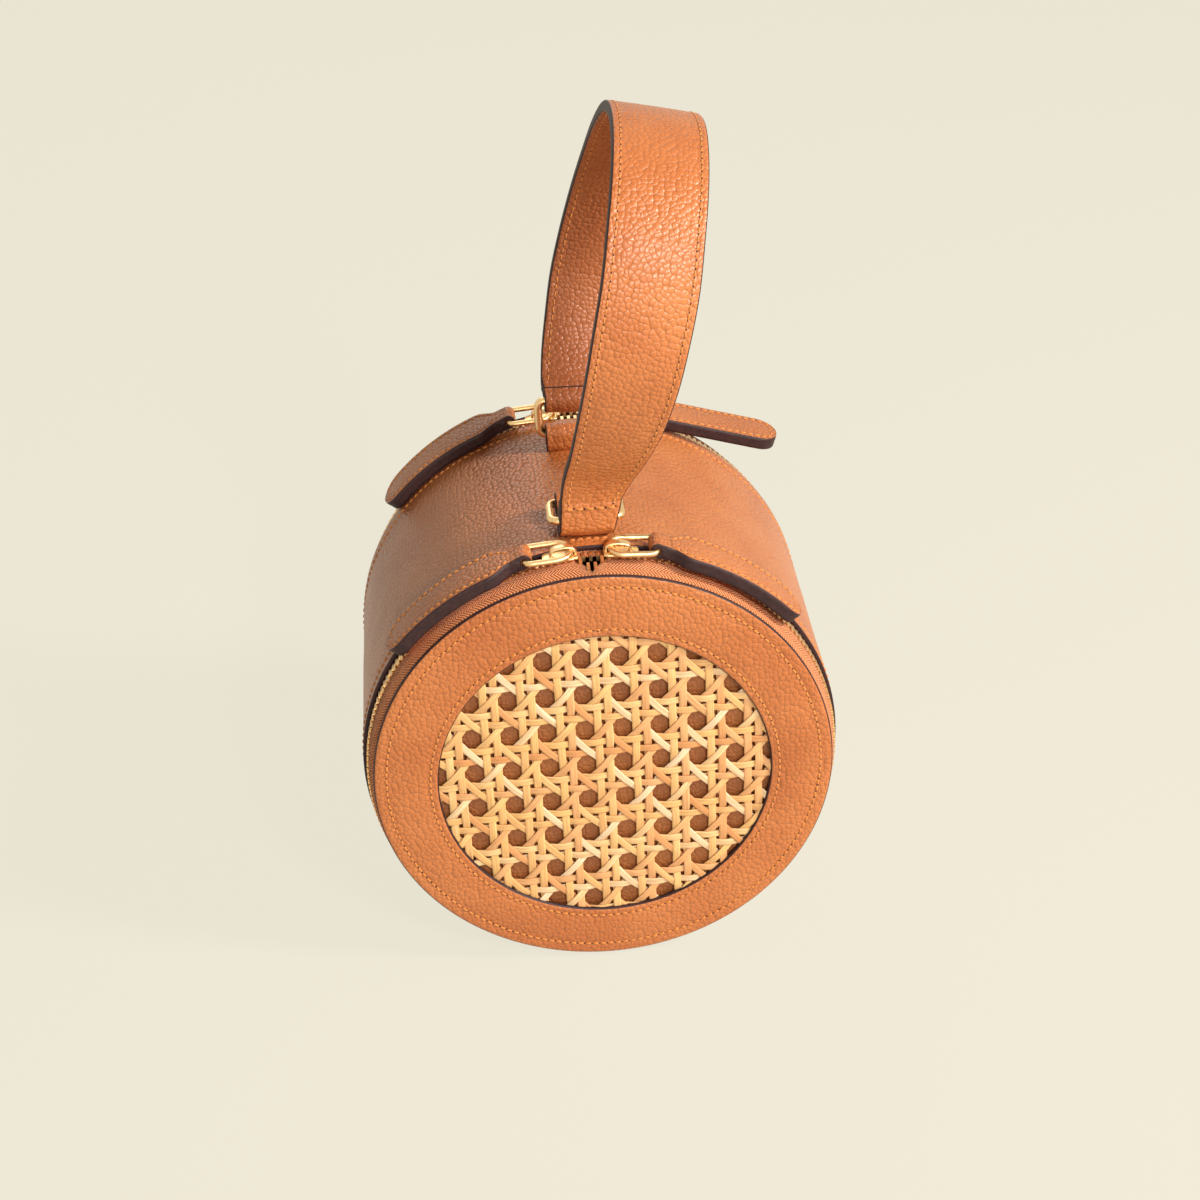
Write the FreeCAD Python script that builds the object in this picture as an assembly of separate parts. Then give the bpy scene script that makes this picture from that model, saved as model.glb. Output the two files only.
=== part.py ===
import FreeCAD, Part
import math
import os

from FreeCAD import Vector

# A round bag: a leather drum lying on its side, closed by a zipped cane lid at each end,
# with a strap handle over the top. Millimetres, +Z up, the front lid faces -Y, and the
# origin is the middle of the footprint on the floor.

# Drum
drum_radius = 83.5
drum_length = 94.2
base_flatten = 2.43
wall_thickness = 1.8
board_thickness = 1.2
lining_thickness = 0.6
layer_gap = 0.1
board_end_gap = 0.4
lining_end_inset = 1.6

# Zip
zip_band_width = 14.6
tape_show_at_rim = 3.7
tape_thickness = 0.7
body_tape_seam = 9.0
lid_tape_seam_gap = 2.2
lid_tape_bend_width = 5.6
zip_half_angle = 115.0
tape_half_angle = 119.0
tooth_pitch = 2.4
tooth_width = 1.05
tooth_height = 2.1
tooth_overlap = 1.5
tooth_leg = 1.65
tooth_tip_gap = 0.1
tooth_tape_gap = 0.15
mouth_half_width = 5.2
mouth_depth = 6.4
mouth_tape_gap = 0.8
stop_width = 2.2
stop_gap = 0.5

# Hinge panel under each lid
panel_thickness = 1.2
panel_angle_gap = 0.8
panel_lid_gap = 0.5

# Lids
lid_edge_step = 3.5
lid_leather_thickness = 1.8
lid_ring_width = 22.1
opening_drop = 1.7
opening_shift = 0.3
cane_margin = 6.5
cane_thickness = 1.2
cane_pitch_x = 12.94
cane_pitch_z = 14.6
cane_hole_width = 6.4
cane_hole_start_x = -6.3
cane_hole_start_z = 5.1
cane_hole_reach = 3.0
cane_turn = 0.4
backing_margin = 8.0
backing_thickness = 0.8
lid_board_inset = 3.2
lid_board_thickness = 1.2
lid_lining_inset = 2.4
lid_lining_thickness = 0.6

# Sliders
slider_start_angle = 3.0
slider_length = 11.8
slider_width = 6.6
slider_plate = 1.3
slider_tooth_gap = 0.35
slider_corner = 1.4
bridge_width = 2.6
bridge_length = 9.6
bridge_post = 1.1
bridge_window_height = 2.3
bridge_roof = 0.8

# Pull rings
pull_wire = 1.5
pull_ring_length = 17.0
pull_ring_width = 13.0
pull_ring_corner = 1.6
pull_ring_play = 0.5
pull_ring_lift = 1.6

# Pull tabs
tab_eye_wall = 1.7
tab_eye_clearance = 0.25
tab_neck_width = 8.0
tab_neck_thickness = 3.6
tab_width = 17.0
tab_thickness = 4.8
tab_length = 57.0
tab_neck_length = 4.4
tab_rest_gap = 0.45
tab_end_round = 7.4
tab_shoulder_round = 3.6
straight_tab_droop = 17.5

# Handle rings and the loops that hold them
ring_wire = 3.0
ring_length = 16.2
ring_width = 26.6
ring_corner = 2.6
loop_rim_gap = 21.4
loop_bar_height = 5.5
loop_clearance = 0.35
loop_leather = 1.8
loop_width = 19.4
front_ring_tilt = -88.7
back_ring_tilt = 0.0

# Handle strap
strap_end_width = 18.6
strap_width = 31.2
strap_thickness = 3.9
front_fold_clearance = 0.3
back_fold_clearance = 1.25
strap_fold_leather = 1.95
strap_rise = 125.7
strap_lean = 31.4
strap_turn = 13.0

# One overrun for every cut
overrun = 5.0

# Sizes that follow
half_length = drum_length / 2
lid_face_y = -(half_length + zip_band_width)
rim_y = -half_length
axis_height = drum_radius - base_flatten
lid_radius = drum_radius - lid_edge_step
opening_radius = lid_radius - lid_ring_width
opening_offset = math.hypot(opening_drop, opening_shift)
lid_tape_seam = opening_radius + cane_margin + opening_offset + lid_tape_seam_gap
zip_y = rim_y - tape_show_at_rim
tape_outer = drum_radius - wall_thickness - layer_gap
tape_inner = tape_outer - tape_thickness
tooth_middle = tape_outer - tape_thickness / 2
tooth_top = tooth_middle + tooth_height / 2
tooth_foot = tooth_middle - tooth_height / 2
pitch_angle = math.degrees(tooth_pitch / tooth_middle)
lid_inner_y = lid_face_y + lid_leather_thickness
lid_bend_y = lid_inner_y + layer_gap + lid_tape_bend_width
slider_foot = tooth_top + slider_tooth_gap
slider_top = slider_foot + slider_plate
slider_angle = math.degrees(slider_length / slider_top)
bridge_angle = math.degrees(bridge_length / slider_top)
post_angle = math.degrees(bridge_post / slider_top)
near_bar_radius = slider_top + (bridge_window_height - pull_wire) / 2 + pull_wire / 2
near_bar_angle = slider_start_angle + post_angle + math.degrees(
    (pull_ring_play + pull_wire / 2) / near_bar_radius)
far_bar_radius = near_bar_radius + pull_ring_lift
pull_bar_gap = pull_ring_length - pull_wire
far_bar_angle = near_bar_angle + math.degrees(math.acos(
    (near_bar_radius ** 2 + far_bar_radius ** 2 - pull_bar_gap ** 2)
    / (2 * near_bar_radius * far_bar_radius)))
tab_eye_hole = pull_wire / 2 + tab_eye_clearance
tab_eye_radius = tab_eye_hole + tab_eye_wall
tab_foot = drum_radius + tab_rest_gap
tab_middle = tab_foot + tab_thickness / 2
ring_bar_gap = ring_length - ring_wire
loop_spread = drum_length - 2 * loop_rim_gap
loop_bar_z = axis_height + drum_radius + loop_bar_height
loop_hole = ring_wire / 2 + loop_clearance
loop_outer = loop_hole + loop_leather
front_fold_hole = ring_wire / 2 + front_fold_clearance
back_fold_hole = ring_wire / 2 + back_fold_clearance

FRONT_TO_BACK = Vector(0, 1, 0)
AXIS_POINT = Vector(0, 0, axis_height)


def around(radius, angle, y):
    # a point at this radius from the drum's axis, at this many degrees from the top to the right
    turn = math.radians(angle)
    return Vector(radius * math.sin(turn), y, axis_height + radius * math.cos(turn))


def sector(outline, from_angle, to_angle):
    # a closed outline of (y, radius) places, turned about the drum's axis
    points = [around(radius, from_angle, y) for y, radius in outline]
    face = Part.Face(Part.makePolygon(points + points[:1]))
    return face.revolve(AXIS_POINT, FRONT_TO_BACK, to_angle - from_angle)


def band(y_from, y_to, r_from, r_to):
    return [(y_from, r_from), (y_to, r_from), (y_to, r_to), (y_from, r_to)]


def mirrored(shape):
    return shape.mirror(Vector(0, 0, 0), FRONT_TO_BACK)


def rod(radius, start, end):
    return Part.makeCylinder(radius, (end - start).Length, start, end - start)


def disc(radius, y, thickness, x=0.0, z=axis_height):
    return Part.makeCylinder(radius, thickness, Vector(x, y, z), FRONT_TO_BACK)


# The drum. Every layer is a round band with a flat bottom, so that the bag stands.
def drum_slab(inset, y_from, y_to):
    radius = drum_radius - inset
    half = math.sqrt(radius ** 2 - (axis_height - inset) ** 2)
    left = Vector(-half, y_from, inset)
    right = Vector(half, y_from, inset)
    arc = Part.Arc(left, around(radius, 0, y_from), right).toShape()
    base = Part.LineSegment(right, left).toShape()
    face = Part.Face(Part.Wire([arc, base]))
    return face.extrude(Vector(0, y_to - y_from, 0))


def drum_layer(inset, thickness, y_from, y_to):
    return drum_slab(inset, y_from, y_to).cut(drum_slab(inset + thickness, y_from, y_to))


def drum_wall():
    return drum_layer(0, wall_thickness, -half_length, half_length)


def board_inset():
    return wall_thickness + layer_gap


def drum_board():
    end = half_length - body_tape_seam - board_end_gap
    return drum_layer(board_inset(), board_thickness, -end, end)


def drum_lining():
    end = half_length - lining_end_inset
    inset = board_inset() + board_thickness + layer_gap
    return drum_layer(inset, lining_thickness, -end, end)


# Zip tapes. The drum's tape is sewn under its rim, and the lid's tape is sewn under the
# lid's leather, bends round its edge and leans out to the teeth.
def body_tape():
    y_from = zip_y + tooth_overlap / 2 + tooth_tip_gap
    outline = band(y_from, rim_y + body_tape_seam, tape_inner, tape_outer)
    return sector(outline, -tape_half_angle, tape_half_angle)


def lid_tape():
    y_seam = lid_inner_y + layer_gap
    y_edge = zip_y - tooth_overlap / 2 - tooth_tip_gap
    r_edge = lid_radius - layer_gap
    outline = [
        (y_seam, lid_tape_seam),
        (y_seam, r_edge),
        (lid_bend_y, tape_outer),
        (y_edge, tape_outer),
        (y_edge, tape_inner),
        (lid_bend_y, tape_inner),
        (y_seam + tape_thickness, r_edge - tape_thickness),
        (y_seam + tape_thickness, lid_tape_seam),
    ]
    tape = sector(outline, -tape_half_angle, tape_half_angle)
    return tape.cut(mouth_cut())


def mouth_cut():
    # between the two sliders the lid's tape is pushed down, which leaves a wedge open
    top = axis_height + drum_radius + overrun
    low = axis_height + opening_radius
    half = mouth_half_width + mouth_tape_gap
    y_edge = zip_y - tooth_overlap / 2 - tooth_tip_gap
    points = [
        Vector(-half, zip_y, low),
        Vector(half, zip_y, low),
        Vector(half, y_edge, low),
        Vector(0, y_edge - mouth_depth * half / mouth_half_width, low),
        Vector(-half, y_edge, low),
    ]
    face = Part.Face(Part.makePolygon(points + points[:1]))
    return face.extrude(Vector(0, 0, top - low))


# Zip teeth: small metal clamps on the tape's edge whose heads reach between those opposite.
def tooth(side, angle, dip):
    # side is 1 for the drum's row, whose tape lies behind the teeth, and -1 for the lid's
    head = zip_y - side * tooth_overlap / 2 - dip
    throat = zip_y + side * (tooth_overlap / 2 + tooth_tip_gap - tooth_tape_gap) - dip
    heel = throat + side * tooth_leg
    slot_foot = tape_inner - tooth_tape_gap
    slot_top = tape_outer + tooth_tape_gap
    outline = [
        (head, tooth_foot), (heel, tooth_foot), (heel, slot_foot), (throat, slot_foot),
        (throat, slot_top), (heel, slot_top), (heel, tooth_top), (head, tooth_top),
    ]
    points = [Vector(-tooth_width / 2, y, axis_height + radius) for y, radius in outline]
    face = Part.Face(Part.makePolygon(points + points[:1]))
    shape = face.extrude(Vector(tooth_width, 0, 0))
    if dip:
        follow_bend(shape, heel)
    shape.rotate(AXIS_POINT, FRONT_TO_BACK, angle)
    return shape


def follow_bend(shape, heel):
    # a tooth that is pushed down past the tape's bend turns with the tape
    share = min(1, max(0, (lid_bend_y - heel) / tooth_leg))
    rise = tape_outer - lid_radius + layer_gap
    slope = math.degrees(math.atan2(rise, lid_tape_bend_width))
    shape.rotate(Vector(0, lid_bend_y, axis_height + tooth_middle), Vector(1, 0, 0), share * slope)


def mouth_dip(angle):
    across = abs(math.radians(angle)) * tooth_middle / mouth_half_width
    return mouth_depth * max(0, 1 - across)


def body_teeth():
    count = int(zip_half_angle / pitch_angle)
    return Part.Compound([tooth(1, k * pitch_angle, 0) for k in range(-count, count + 1)])


def lid_teeth():
    count = int(zip_half_angle / pitch_angle)
    angles = [(k + 1 / 2) * pitch_angle for k in range(-count, count)]
    return Part.Compound([tooth(-1, angle, mouth_dip(angle)) for angle in angles])


def zip_stops():
    # a metal block clamps the drum's tape below the last tooth at each end of the zip
    width = math.degrees(stop_width / tooth_middle)
    first = (int(zip_half_angle / pitch_angle) + 1 / 2) * pitch_angle
    first += math.degrees(stop_gap / tooth_middle)
    throat = zip_y + tooth_overlap / 2 + tooth_tip_gap - tooth_tape_gap
    heel = throat + tooth_leg
    slot_foot = tape_inner - tooth_tape_gap
    slot_top = tape_outer + tooth_tape_gap
    head = zip_y - tooth_overlap / 2
    outline = [
        (head, tooth_foot), (heel, tooth_foot), (heel, slot_foot), (throat, slot_foot),
        (throat, slot_top), (heel, slot_top), (heel, tooth_top), (head, tooth_top),
    ]
    return Part.Compound([
        sector(outline, first, first + width),
        sector(outline, -first - width, -first),
    ])


# Hinge panel: the strip of leather under the bag that ties the lid to the drum.
def panel_slab(inset, y_from, y_knee, y_to):
    wide = drum_radius - inset
    narrow = lid_radius - layer_gap - (inset - board_inset())
    outline = [(y_from, 0), (y_from, narrow), (y_knee, wide), (y_to, wide), (y_to, 0)]
    points = [around(radius, 0, y) for y, radius in outline]
    face = Part.Face(Part.makePolygon(points + points[:1]))
    solid = face.revolve(AXIS_POINT, FRONT_TO_BACK, 360)
    reach = drum_radius + overrun
    below = Part.makeBox(2 * reach, y_to - y_from + 2 * overrun, inset + overrun,
                         Vector(-reach, y_from - overrun, -overrun))
    return solid.cut(below)


def hinge_panel():
    y_from = lid_inner_y + panel_lid_gap
    y_knee = y_from + lid_tape_bend_width
    y_to = rim_y + body_tape_seam
    outer = panel_slab(board_inset(), y_from, y_knee, y_to)
    inner = panel_slab(board_inset() + panel_thickness, y_from, y_knee, y_to)
    edge = tape_half_angle + panel_angle_gap
    reach = (drum_radius + overrun) / math.cos(math.radians((180 - edge) / 2))
    corners = [AXIS_POINT] + [around(reach, a, 0) for a in (edge, (edge + 180) / 2)]
    corners += [around(reach, a, 0) for a in (180, (540 - edge) / 2, 360 - edge)]
    points = [Vector(p.x, y_from - overrun, p.z) for p in corners]
    face = Part.Face(Part.makePolygon(points + points[:1]))
    wedge = face.extrude(Vector(0, y_to - y_from + 2 * overrun, 0))
    return outer.cut(inner).common(wedge)


# Lid: a leather ring over cane webbing, with leather, a board and a lining behind it.
def opening_centre():
    return opening_shift, axis_height - opening_drop


def lid_ring():
    x, z = opening_centre()
    ring = disc(lid_radius, lid_face_y, lid_leather_thickness)
    hole = disc(opening_radius, lid_face_y - overrun, lid_leather_thickness + 2 * overrun, x, z)
    return ring.cut(hole)


def cane_panel():
    # one sheet with the eight-sided gaps of the weave
    x, z = opening_centre()
    y = lid_inner_y + layer_gap
    outline = Part.Wire([Part.makeCircle(opening_radius + cane_margin, Vector(x, y, z),
                                         FRONT_TO_BACK)])
    holes = []
    rows = range(int(-opening_radius / cane_pitch_z), int(opening_radius / cane_pitch_z) + 2)
    columns = range(int(-opening_radius / cane_pitch_x), int(opening_radius / cane_pitch_x) + 2)
    turn = math.radians(cane_turn)
    corner = cane_hole_width / 2 / math.cos(math.pi / 8)
    for row in rows:
        for column in columns:
            along = cane_hole_start_x + column * cane_pitch_x
            up = cane_hole_start_z + row * cane_pitch_z
            hx = along * math.cos(turn) - up * math.sin(turn)
            hz = along * math.sin(turn) + up * math.cos(turn) + opening_drop
            if math.hypot(hx, hz) > opening_radius + cane_hole_reach:
                continue
            angles = [math.pi * (2 * k + 1) / 8 for k in range(8)]
            points = [Vector(x + hx + corner * math.cos(a), y, z + hz + corner * math.sin(a))
                      for a in angles]
            holes.append(Part.makePolygon(points + points[:1]))
    face = Part.Face([outline] + holes)
    return face.extrude(Vector(0, cane_thickness, 0))


def lid_backing():
    x, z = opening_centre()
    y = lid_inner_y + cane_thickness + 2 * layer_gap
    return disc(opening_radius + backing_margin, y, backing_thickness, x, z)


def lid_board():
    y = lid_inner_y + cane_thickness + backing_thickness + 3 * layer_gap
    return disc(lid_radius - lid_board_inset, y, lid_board_thickness)


def lid_lining():
    y = lid_inner_y + cane_thickness + backing_thickness + lid_board_thickness + 4 * layer_gap
    return disc(lid_radius - lid_lining_inset, y, lid_lining_thickness)


# Slider: a plate over the teeth with a bridge on it, and a plate under them.
def slider_plate_shape(r_from, r_to):
    y_from = zip_y - slider_width / 2
    outline = band(y_from, y_from + slider_width, r_from, r_to)
    plate = sector(outline, slider_start_angle, slider_start_angle + slider_angle)
    corners = []
    for edge in plate.Edges:
        ends = [v.Point for v in edge.Vertexes]
        if len(ends) == 2 and abs(ends[0].y - ends[1].y) < layer_gap:
            radii = [(p - Vector(0, p.y, axis_height)).Length for p in ends]
            if abs(radii[0] - radii[1]) > layer_gap:
                corners.append(edge)
    return plate.makeFillet(slider_corner, corners)


def slider():
    plate = slider_plate_shape(slider_foot, slider_top)
    window_top = slider_top + bridge_window_height
    y_from = zip_y - bridge_width / 2
    roof_top = window_top + bridge_roof
    start = slider_start_angle
    arch = sector(band(y_from, y_from + bridge_width, slider_foot + slider_plate / 2, roof_top),
                  start, start + bridge_angle)
    window = sector(band(y_from - overrun, y_from + bridge_width + overrun, slider_top, window_top),
                    start + post_angle, start + bridge_angle - post_angle)
    top = plate.fuse(arch).cut(window)
    under = slider_plate_shape(tooth_foot - slider_tooth_gap - slider_plate,
                               tooth_foot - slider_tooth_gap)
    return Part.Compound([top.removeSplitter(), under])


# Pull ring: a wire link, one end under the bridge and the other in the tab's fold.
def wire_link(length, width, corner, wire):
    # centreline in the plane of X (length) and Y (width), one end bar at x = 0
    half = width / 2
    bend = corner * (1 - math.cos(math.radians(45)))
    points = [
        Vector(corner, -half, 0), Vector(length - corner, -half, 0),
        Vector(length - bend, -half + bend, 0), Vector(length, -half + corner, 0),
        Vector(length, half - corner, 0), Vector(length - bend, half - bend, 0),
        Vector(length - corner, half, 0), Vector(corner, half, 0),
        Vector(bend, half - bend, 0), Vector(0, half - corner, 0),
        Vector(0, corner - half, 0), Vector(bend, bend - half, 0),
    ]
    edges = []
    for k in range(0, 12, 3):
        line = Part.LineSegment(points[k], points[k + 1])
        arc = Part.Arc(points[k + 1], points[k + 2], points[(k + 3) % 12])
        edges += [line.toShape(), arc.toShape()]
    path = Part.Wire(edges)
    profile = Part.Wire([Part.makeCircle(wire / 2, points[0], Vector(1, 0, 0))])
    return path.makePipeShell([profile], True, False)


def pull_ring():
    link = wire_link(pull_bar_gap, pull_ring_width - pull_wire, pull_ring_corner, pull_wire)
    near = around(near_bar_radius, near_bar_angle, zip_y)
    far = around(far_bar_radius, far_bar_angle, zip_y)
    slope = math.degrees(math.atan2(near.z - far.z, far.x - near.x))
    link.rotate(Vector(0, 0, 0), FRONT_TO_BACK, slope)
    link.translate(near)
    return link


# Pull tab: two leathers sewn together, with a narrow neck folded round the pull ring.
def rounded_plate(plate, near_point, far_point):
    # the corner edges run through the leather's thickness, and the two at the free end are rounder
    ends, shoulders = [], []
    for edge in plate.Edges:
        a, b = [v.Point for v in edge.Vertexes][:1] + [v.Point for v in edge.Vertexes][-1:]
        if abs(a.y - b.y) > layer_gap or abs((a - b).Length - tab_thickness) > layer_gap:
            continue
        middle = (a + b) / 2
        nearer = (middle - near_point).Length < (middle - far_point).Length
        (shoulders if nearer else ends).append(edge)
    plate = plate.makeFillet(tab_end_round, ends)
    shoulders = [e for e in plate.Edges if any(same_edge(e, s) for s in shoulders)]
    return plate.makeFillet(tab_shoulder_round, shoulders)


def same_edge(one, other):
    return (one.CenterOfMass - other.CenterOfMass).Length < layer_gap and abs(
        one.Length - other.Length) < layer_gap


def tab_eye():
    centre = around(far_bar_radius, far_bar_angle, zip_y - tab_neck_width / 2)
    return Part.makeCylinder(tab_eye_radius, tab_neck_width, centre, FRONT_TO_BACK), centre


def eye_hole(centre):
    start = centre - FRONT_TO_BACK * overrun
    return Part.makeCylinder(tab_eye_hole, tab_neck_width + 2 * overrun, start, FRONT_TO_BACK)


def draped_tab():
    # it lies along the rim, so it follows the drum's curve
    start = far_bar_angle + math.degrees(tab_neck_length / tab_middle)
    end = far_bar_angle + math.degrees(tab_length / tab_middle)
    y_from = zip_y - tab_width / 2
    plate = sector(band(y_from, y_from + tab_width, tab_foot, tab_foot + tab_thickness), start, end)
    plate = rounded_plate(plate, around(tab_middle, start, zip_y), around(tab_middle, end, zip_y))
    eye, centre = tab_eye()
    y_neck = zip_y - tab_neck_width / 2
    r_neck = far_bar_radius - tab_neck_thickness / 2
    neck = sector(band(y_neck, y_neck + tab_neck_width, r_neck, r_neck + tab_neck_thickness),
                  far_bar_angle, start + math.degrees(tab_shoulder_round / tab_middle))
    return plate.fuse(neck).fuse(eye).cut(eye_hole(centre)).removeSplitter()


def straight_tab():
    # it stands off the drum, straight out from the ring
    eye, centre = tab_eye()
    pivot = around(far_bar_radius, far_bar_angle, zip_y)
    plate = Part.makeBox(tab_length - tab_neck_length, tab_width, tab_thickness,
                         Vector(tab_neck_length, -tab_width / 2, -tab_thickness / 2))
    plate = rounded_plate(plate, Vector(tab_neck_length, 0, 0), Vector(tab_length, 0, 0))
    neck = Part.makeBox(tab_neck_length + tab_shoulder_round, tab_neck_width, tab_neck_thickness,
                        Vector(0, -tab_neck_width / 2, -tab_neck_thickness / 2))
    flat = plate.fuse(neck)
    flat.rotate(Vector(0, 0, 0), FRONT_TO_BACK, straight_tab_droop)
    flat.translate(pivot)
    return flat.fuse(eye).cut(eye_hole(centre)).removeSplitter()


# Handle loop: a leather loop whose legs go down into the drum wall. It holds the ring.
def front_loop_bar():
    return Vector(0, -loop_spread / 2, loop_bar_z)


def handle_loop():
    bar = front_loop_bar()
    left = Vector(-loop_width / 2, bar.y, bar.z)
    eye = Part.makeCylinder(loop_outer, loop_width, left, Vector(1, 0, 0))
    top = axis_height + drum_radius
    legs = Part.makeBox(loop_width, 2 * loop_outer, bar.z - top + overrun,
                        Vector(-loop_width / 2, bar.y - loop_outer, top - overrun))
    hole = Part.makeCylinder(loop_hole, loop_width + 2 * overrun,
                             left - Vector(overrun, 0, 0), Vector(1, 0, 0))
    drum = disc(drum_radius, -half_length, drum_length)
    return eye.fuse(legs).cut(hole).cut(drum).removeSplitter()


# Handle rings: rectangular metal rings, the front one folded forward and the back one upright.
def handle_ring(bar, tilt):
    link = wire_link(ring_bar_gap, ring_width - ring_wire, ring_corner, ring_wire)
    link.rotate(Vector(0, 0, 0), Vector(0, 0, 1), 90)
    link.rotate(Vector(0, 0, 0), Vector(1, 0, 0), 90 - tilt)
    link.translate(bar)
    return link


def strap_bar(bar, tilt):
    turn = math.radians(tilt)
    return bar + Vector(0, ring_bar_gap * math.sin(turn), ring_bar_gap * math.cos(turn))


# Handle strap: a doubled leather strap that arches from ring to ring and leans to the right.
# Each row holds shares: how far from the front ring's bar to the back ring's, how far up the
# rise, how far over the lean, and the shares of the full width and of the sideways turn.
strap_shares = [
    (-0.04, 0.025, 0.02, 0.60, 0.00),
    (-0.05, 0.068, 0.05, 0.65, 0.15),
    (-0.08, 0.131, 0.13, 0.73, 0.46),
    (-0.16, 0.214, 0.25, 0.81, 0.77),
    (-0.24, 0.312, 0.37, 0.90, 1.00),
    (-0.30, 0.427, 0.49, 0.96, 1.00),
    (-0.31, 0.541, 0.60, 0.99, 1.00),
    (-0.26, 0.671, 0.73, 1.00, 1.00),
    (-0.14, 0.786, 0.83, 1.00, 1.00),
    (0.04, 0.876, 0.92, 1.00, 1.00),
    (0.27, 0.931, 0.98, 1.00, 1.00),
    (0.50, 0.946, 1.00, 1.00, 1.00),
    (0.75, 0.914, 0.97, 1.00, 1.00),
    (0.98, 0.825, 0.89, 1.00, 1.00),
    (1.17, 0.701, 0.78, 1.00, 1.00),
    (1.29, 0.569, 0.64, 0.99, 1.00),
    (1.34, 0.437, 0.49, 0.97, 1.00),
    (1.33, 0.312, 0.34, 0.93, 0.92),
    (1.26, 0.204, 0.21, 0.85, 0.69),
    (1.17, 0.124, 0.10, 0.76, 0.46),
    (1.08, 0.064, 0.02, 0.67, 0.23),
    (1.02, 0.032, -0.02, 0.61, 0.00),
]


def strap_stations(front, back):
    stations = []
    last = len(strap_shares) - 1
    for k, (along, up, over, _, _) in enumerate(strap_shares):
        y = front.y + along * (back.y - front.y)
        z = front.z + k / last * (back.z - front.z) + up * strap_rise
        stations.append(Vector(over * strap_lean, y, z))
    return stations


def strap_section(centre, ahead, width, turn):
    tilt = math.radians(turn)
    across = Vector(math.cos(tilt), 0, -math.sin(tilt)) * (width / 2)
    out = ahead.cross(across)
    out.normalize()
    out = out * (strap_thickness / 2)
    points = [centre + across + out, centre - across + out,
              centre - across - out, centre + across - out]
    return Part.makePolygon(points + points[:1])


def handle_strap():
    front = strap_bar(front_loop_bar(), front_ring_tilt)
    back = strap_bar(front_loop_bar() + Vector(0, loop_spread, 0), back_ring_tilt)
    stations = strap_stations(front, back)
    sections = []
    for k, centre in enumerate(stations):
        ahead = stations[min(k + 1, len(stations) - 1)] - stations[max(k - 1, 0)]
        width_share, turn_share = strap_shares[k][3:]
        sections.append(strap_section(centre, ahead, width_share * strap_width,
                                      turn_share * strap_turn))
    strap = Part.makeLoft(sections, True, False)
    folds = ((front, front_fold_hole), (back, back_fold_hole))
    for bar, hole in folds:
        left = bar - Vector(strap_end_width / 2, 0, 0)
        outer = hole + strap_fold_leather
        strap = strap.fuse(Part.makeCylinder(outer, strap_end_width, left, Vector(1, 0, 0)))
    for bar, hole in folds:
        left = bar - Vector(strap_end_width / 2 + overrun, 0, 0)
        strap = strap.cut(Part.makeCylinder(hole, strap_end_width + 2 * overrun, left,
                                            Vector(1, 0, 0)))
    return strap.removeSplitter()


# Every piece by name
def left_right(name, make):
    right = make()
    left = right.mirror(Vector(0, 0, 0), Vector(1, 0, 0))
    return {name.replace("side", "right"): right, name.replace("side", "left"): left}


def pieces():
    parts = {
        "drum_wall": drum_wall(),
        "drum_board": drum_board(),
        "drum_lining": drum_lining(),
    }
    both = {
        "body_tape": body_tape(),
        "body_teeth": body_teeth(),
        "zip_stops": zip_stops(),
        "hinge_panel": hinge_panel(),
        "handle_loop": handle_loop(),
        "lid_ring": lid_ring(),
        "cane_panel": cane_panel(),
        "lid_backing": lid_backing(),
        "lid_board": lid_board(),
        "lid_lining": lid_lining(),
        "lid_tape": lid_tape(),
        "lid_teeth": lid_teeth(),
    }
    both.update(left_right("side_slider", slider))
    both.update(left_right("side_pull_ring", pull_ring))
    both.update(left_right("side_pull_tab", draped_tab))
    for name, shape in both.items():
        parts["front_" + name] = shape
        parts["back_" + name] = mirrored(shape)
    parts["back_right_pull_tab"] = mirrored(straight_tab())
    front_bar = front_loop_bar()
    parts["front_handle_ring"] = handle_ring(front_bar, front_ring_tilt)
    parts["back_handle_ring"] = handle_ring(front_bar + Vector(0, loop_spread, 0), back_ring_tilt)
    parts["handle_strap"] = handle_strap()
    return parts


os.makedirs("parts", exist_ok=True)
for name, shape in pieces().items():
    shape.exportStep("parts/" + name + ".step")
    box = shape.BoundBox
    print(name, len(shape.Solids), shape.isValid(), round(shape.Volume), [
        round(v) for v in (box.XMin, box.XMax, box.YMin, box.YMax, box.ZMin, box.ZMax)])
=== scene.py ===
import bmesh
import bpy
import math
from mathutils import Matrix, Vector, noise
from mathutils.bvhtree import BVHTree


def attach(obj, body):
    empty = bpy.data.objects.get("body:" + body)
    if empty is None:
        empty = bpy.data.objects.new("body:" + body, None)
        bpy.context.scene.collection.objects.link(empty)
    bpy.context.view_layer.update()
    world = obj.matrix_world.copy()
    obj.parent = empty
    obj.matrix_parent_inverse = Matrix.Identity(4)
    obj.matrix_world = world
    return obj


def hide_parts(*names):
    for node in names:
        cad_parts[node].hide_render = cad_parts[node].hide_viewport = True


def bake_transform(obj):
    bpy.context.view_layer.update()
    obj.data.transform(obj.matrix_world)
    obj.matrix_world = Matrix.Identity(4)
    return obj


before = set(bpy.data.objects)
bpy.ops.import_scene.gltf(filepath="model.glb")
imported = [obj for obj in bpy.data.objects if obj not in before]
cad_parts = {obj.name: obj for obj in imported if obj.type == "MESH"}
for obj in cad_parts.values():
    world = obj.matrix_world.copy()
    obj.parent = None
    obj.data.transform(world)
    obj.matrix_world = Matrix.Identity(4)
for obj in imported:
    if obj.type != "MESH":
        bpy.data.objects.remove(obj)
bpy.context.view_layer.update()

# ---------------------------------------------------------------- Drum wall
# A band of pebbled leather, bonded to a board and bent into a drum lying on its side. Its rims
# are cut and painted dark, and a row of stitches near each rim holds the zip tape.
MM = 0.001
drum_radius = 83.5 * MM
half_length = 47.1 * MM
axis_height = 81.07 * MM
wall_thickness = 1.8 * MM
rim_round = 0.5 * MM
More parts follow.
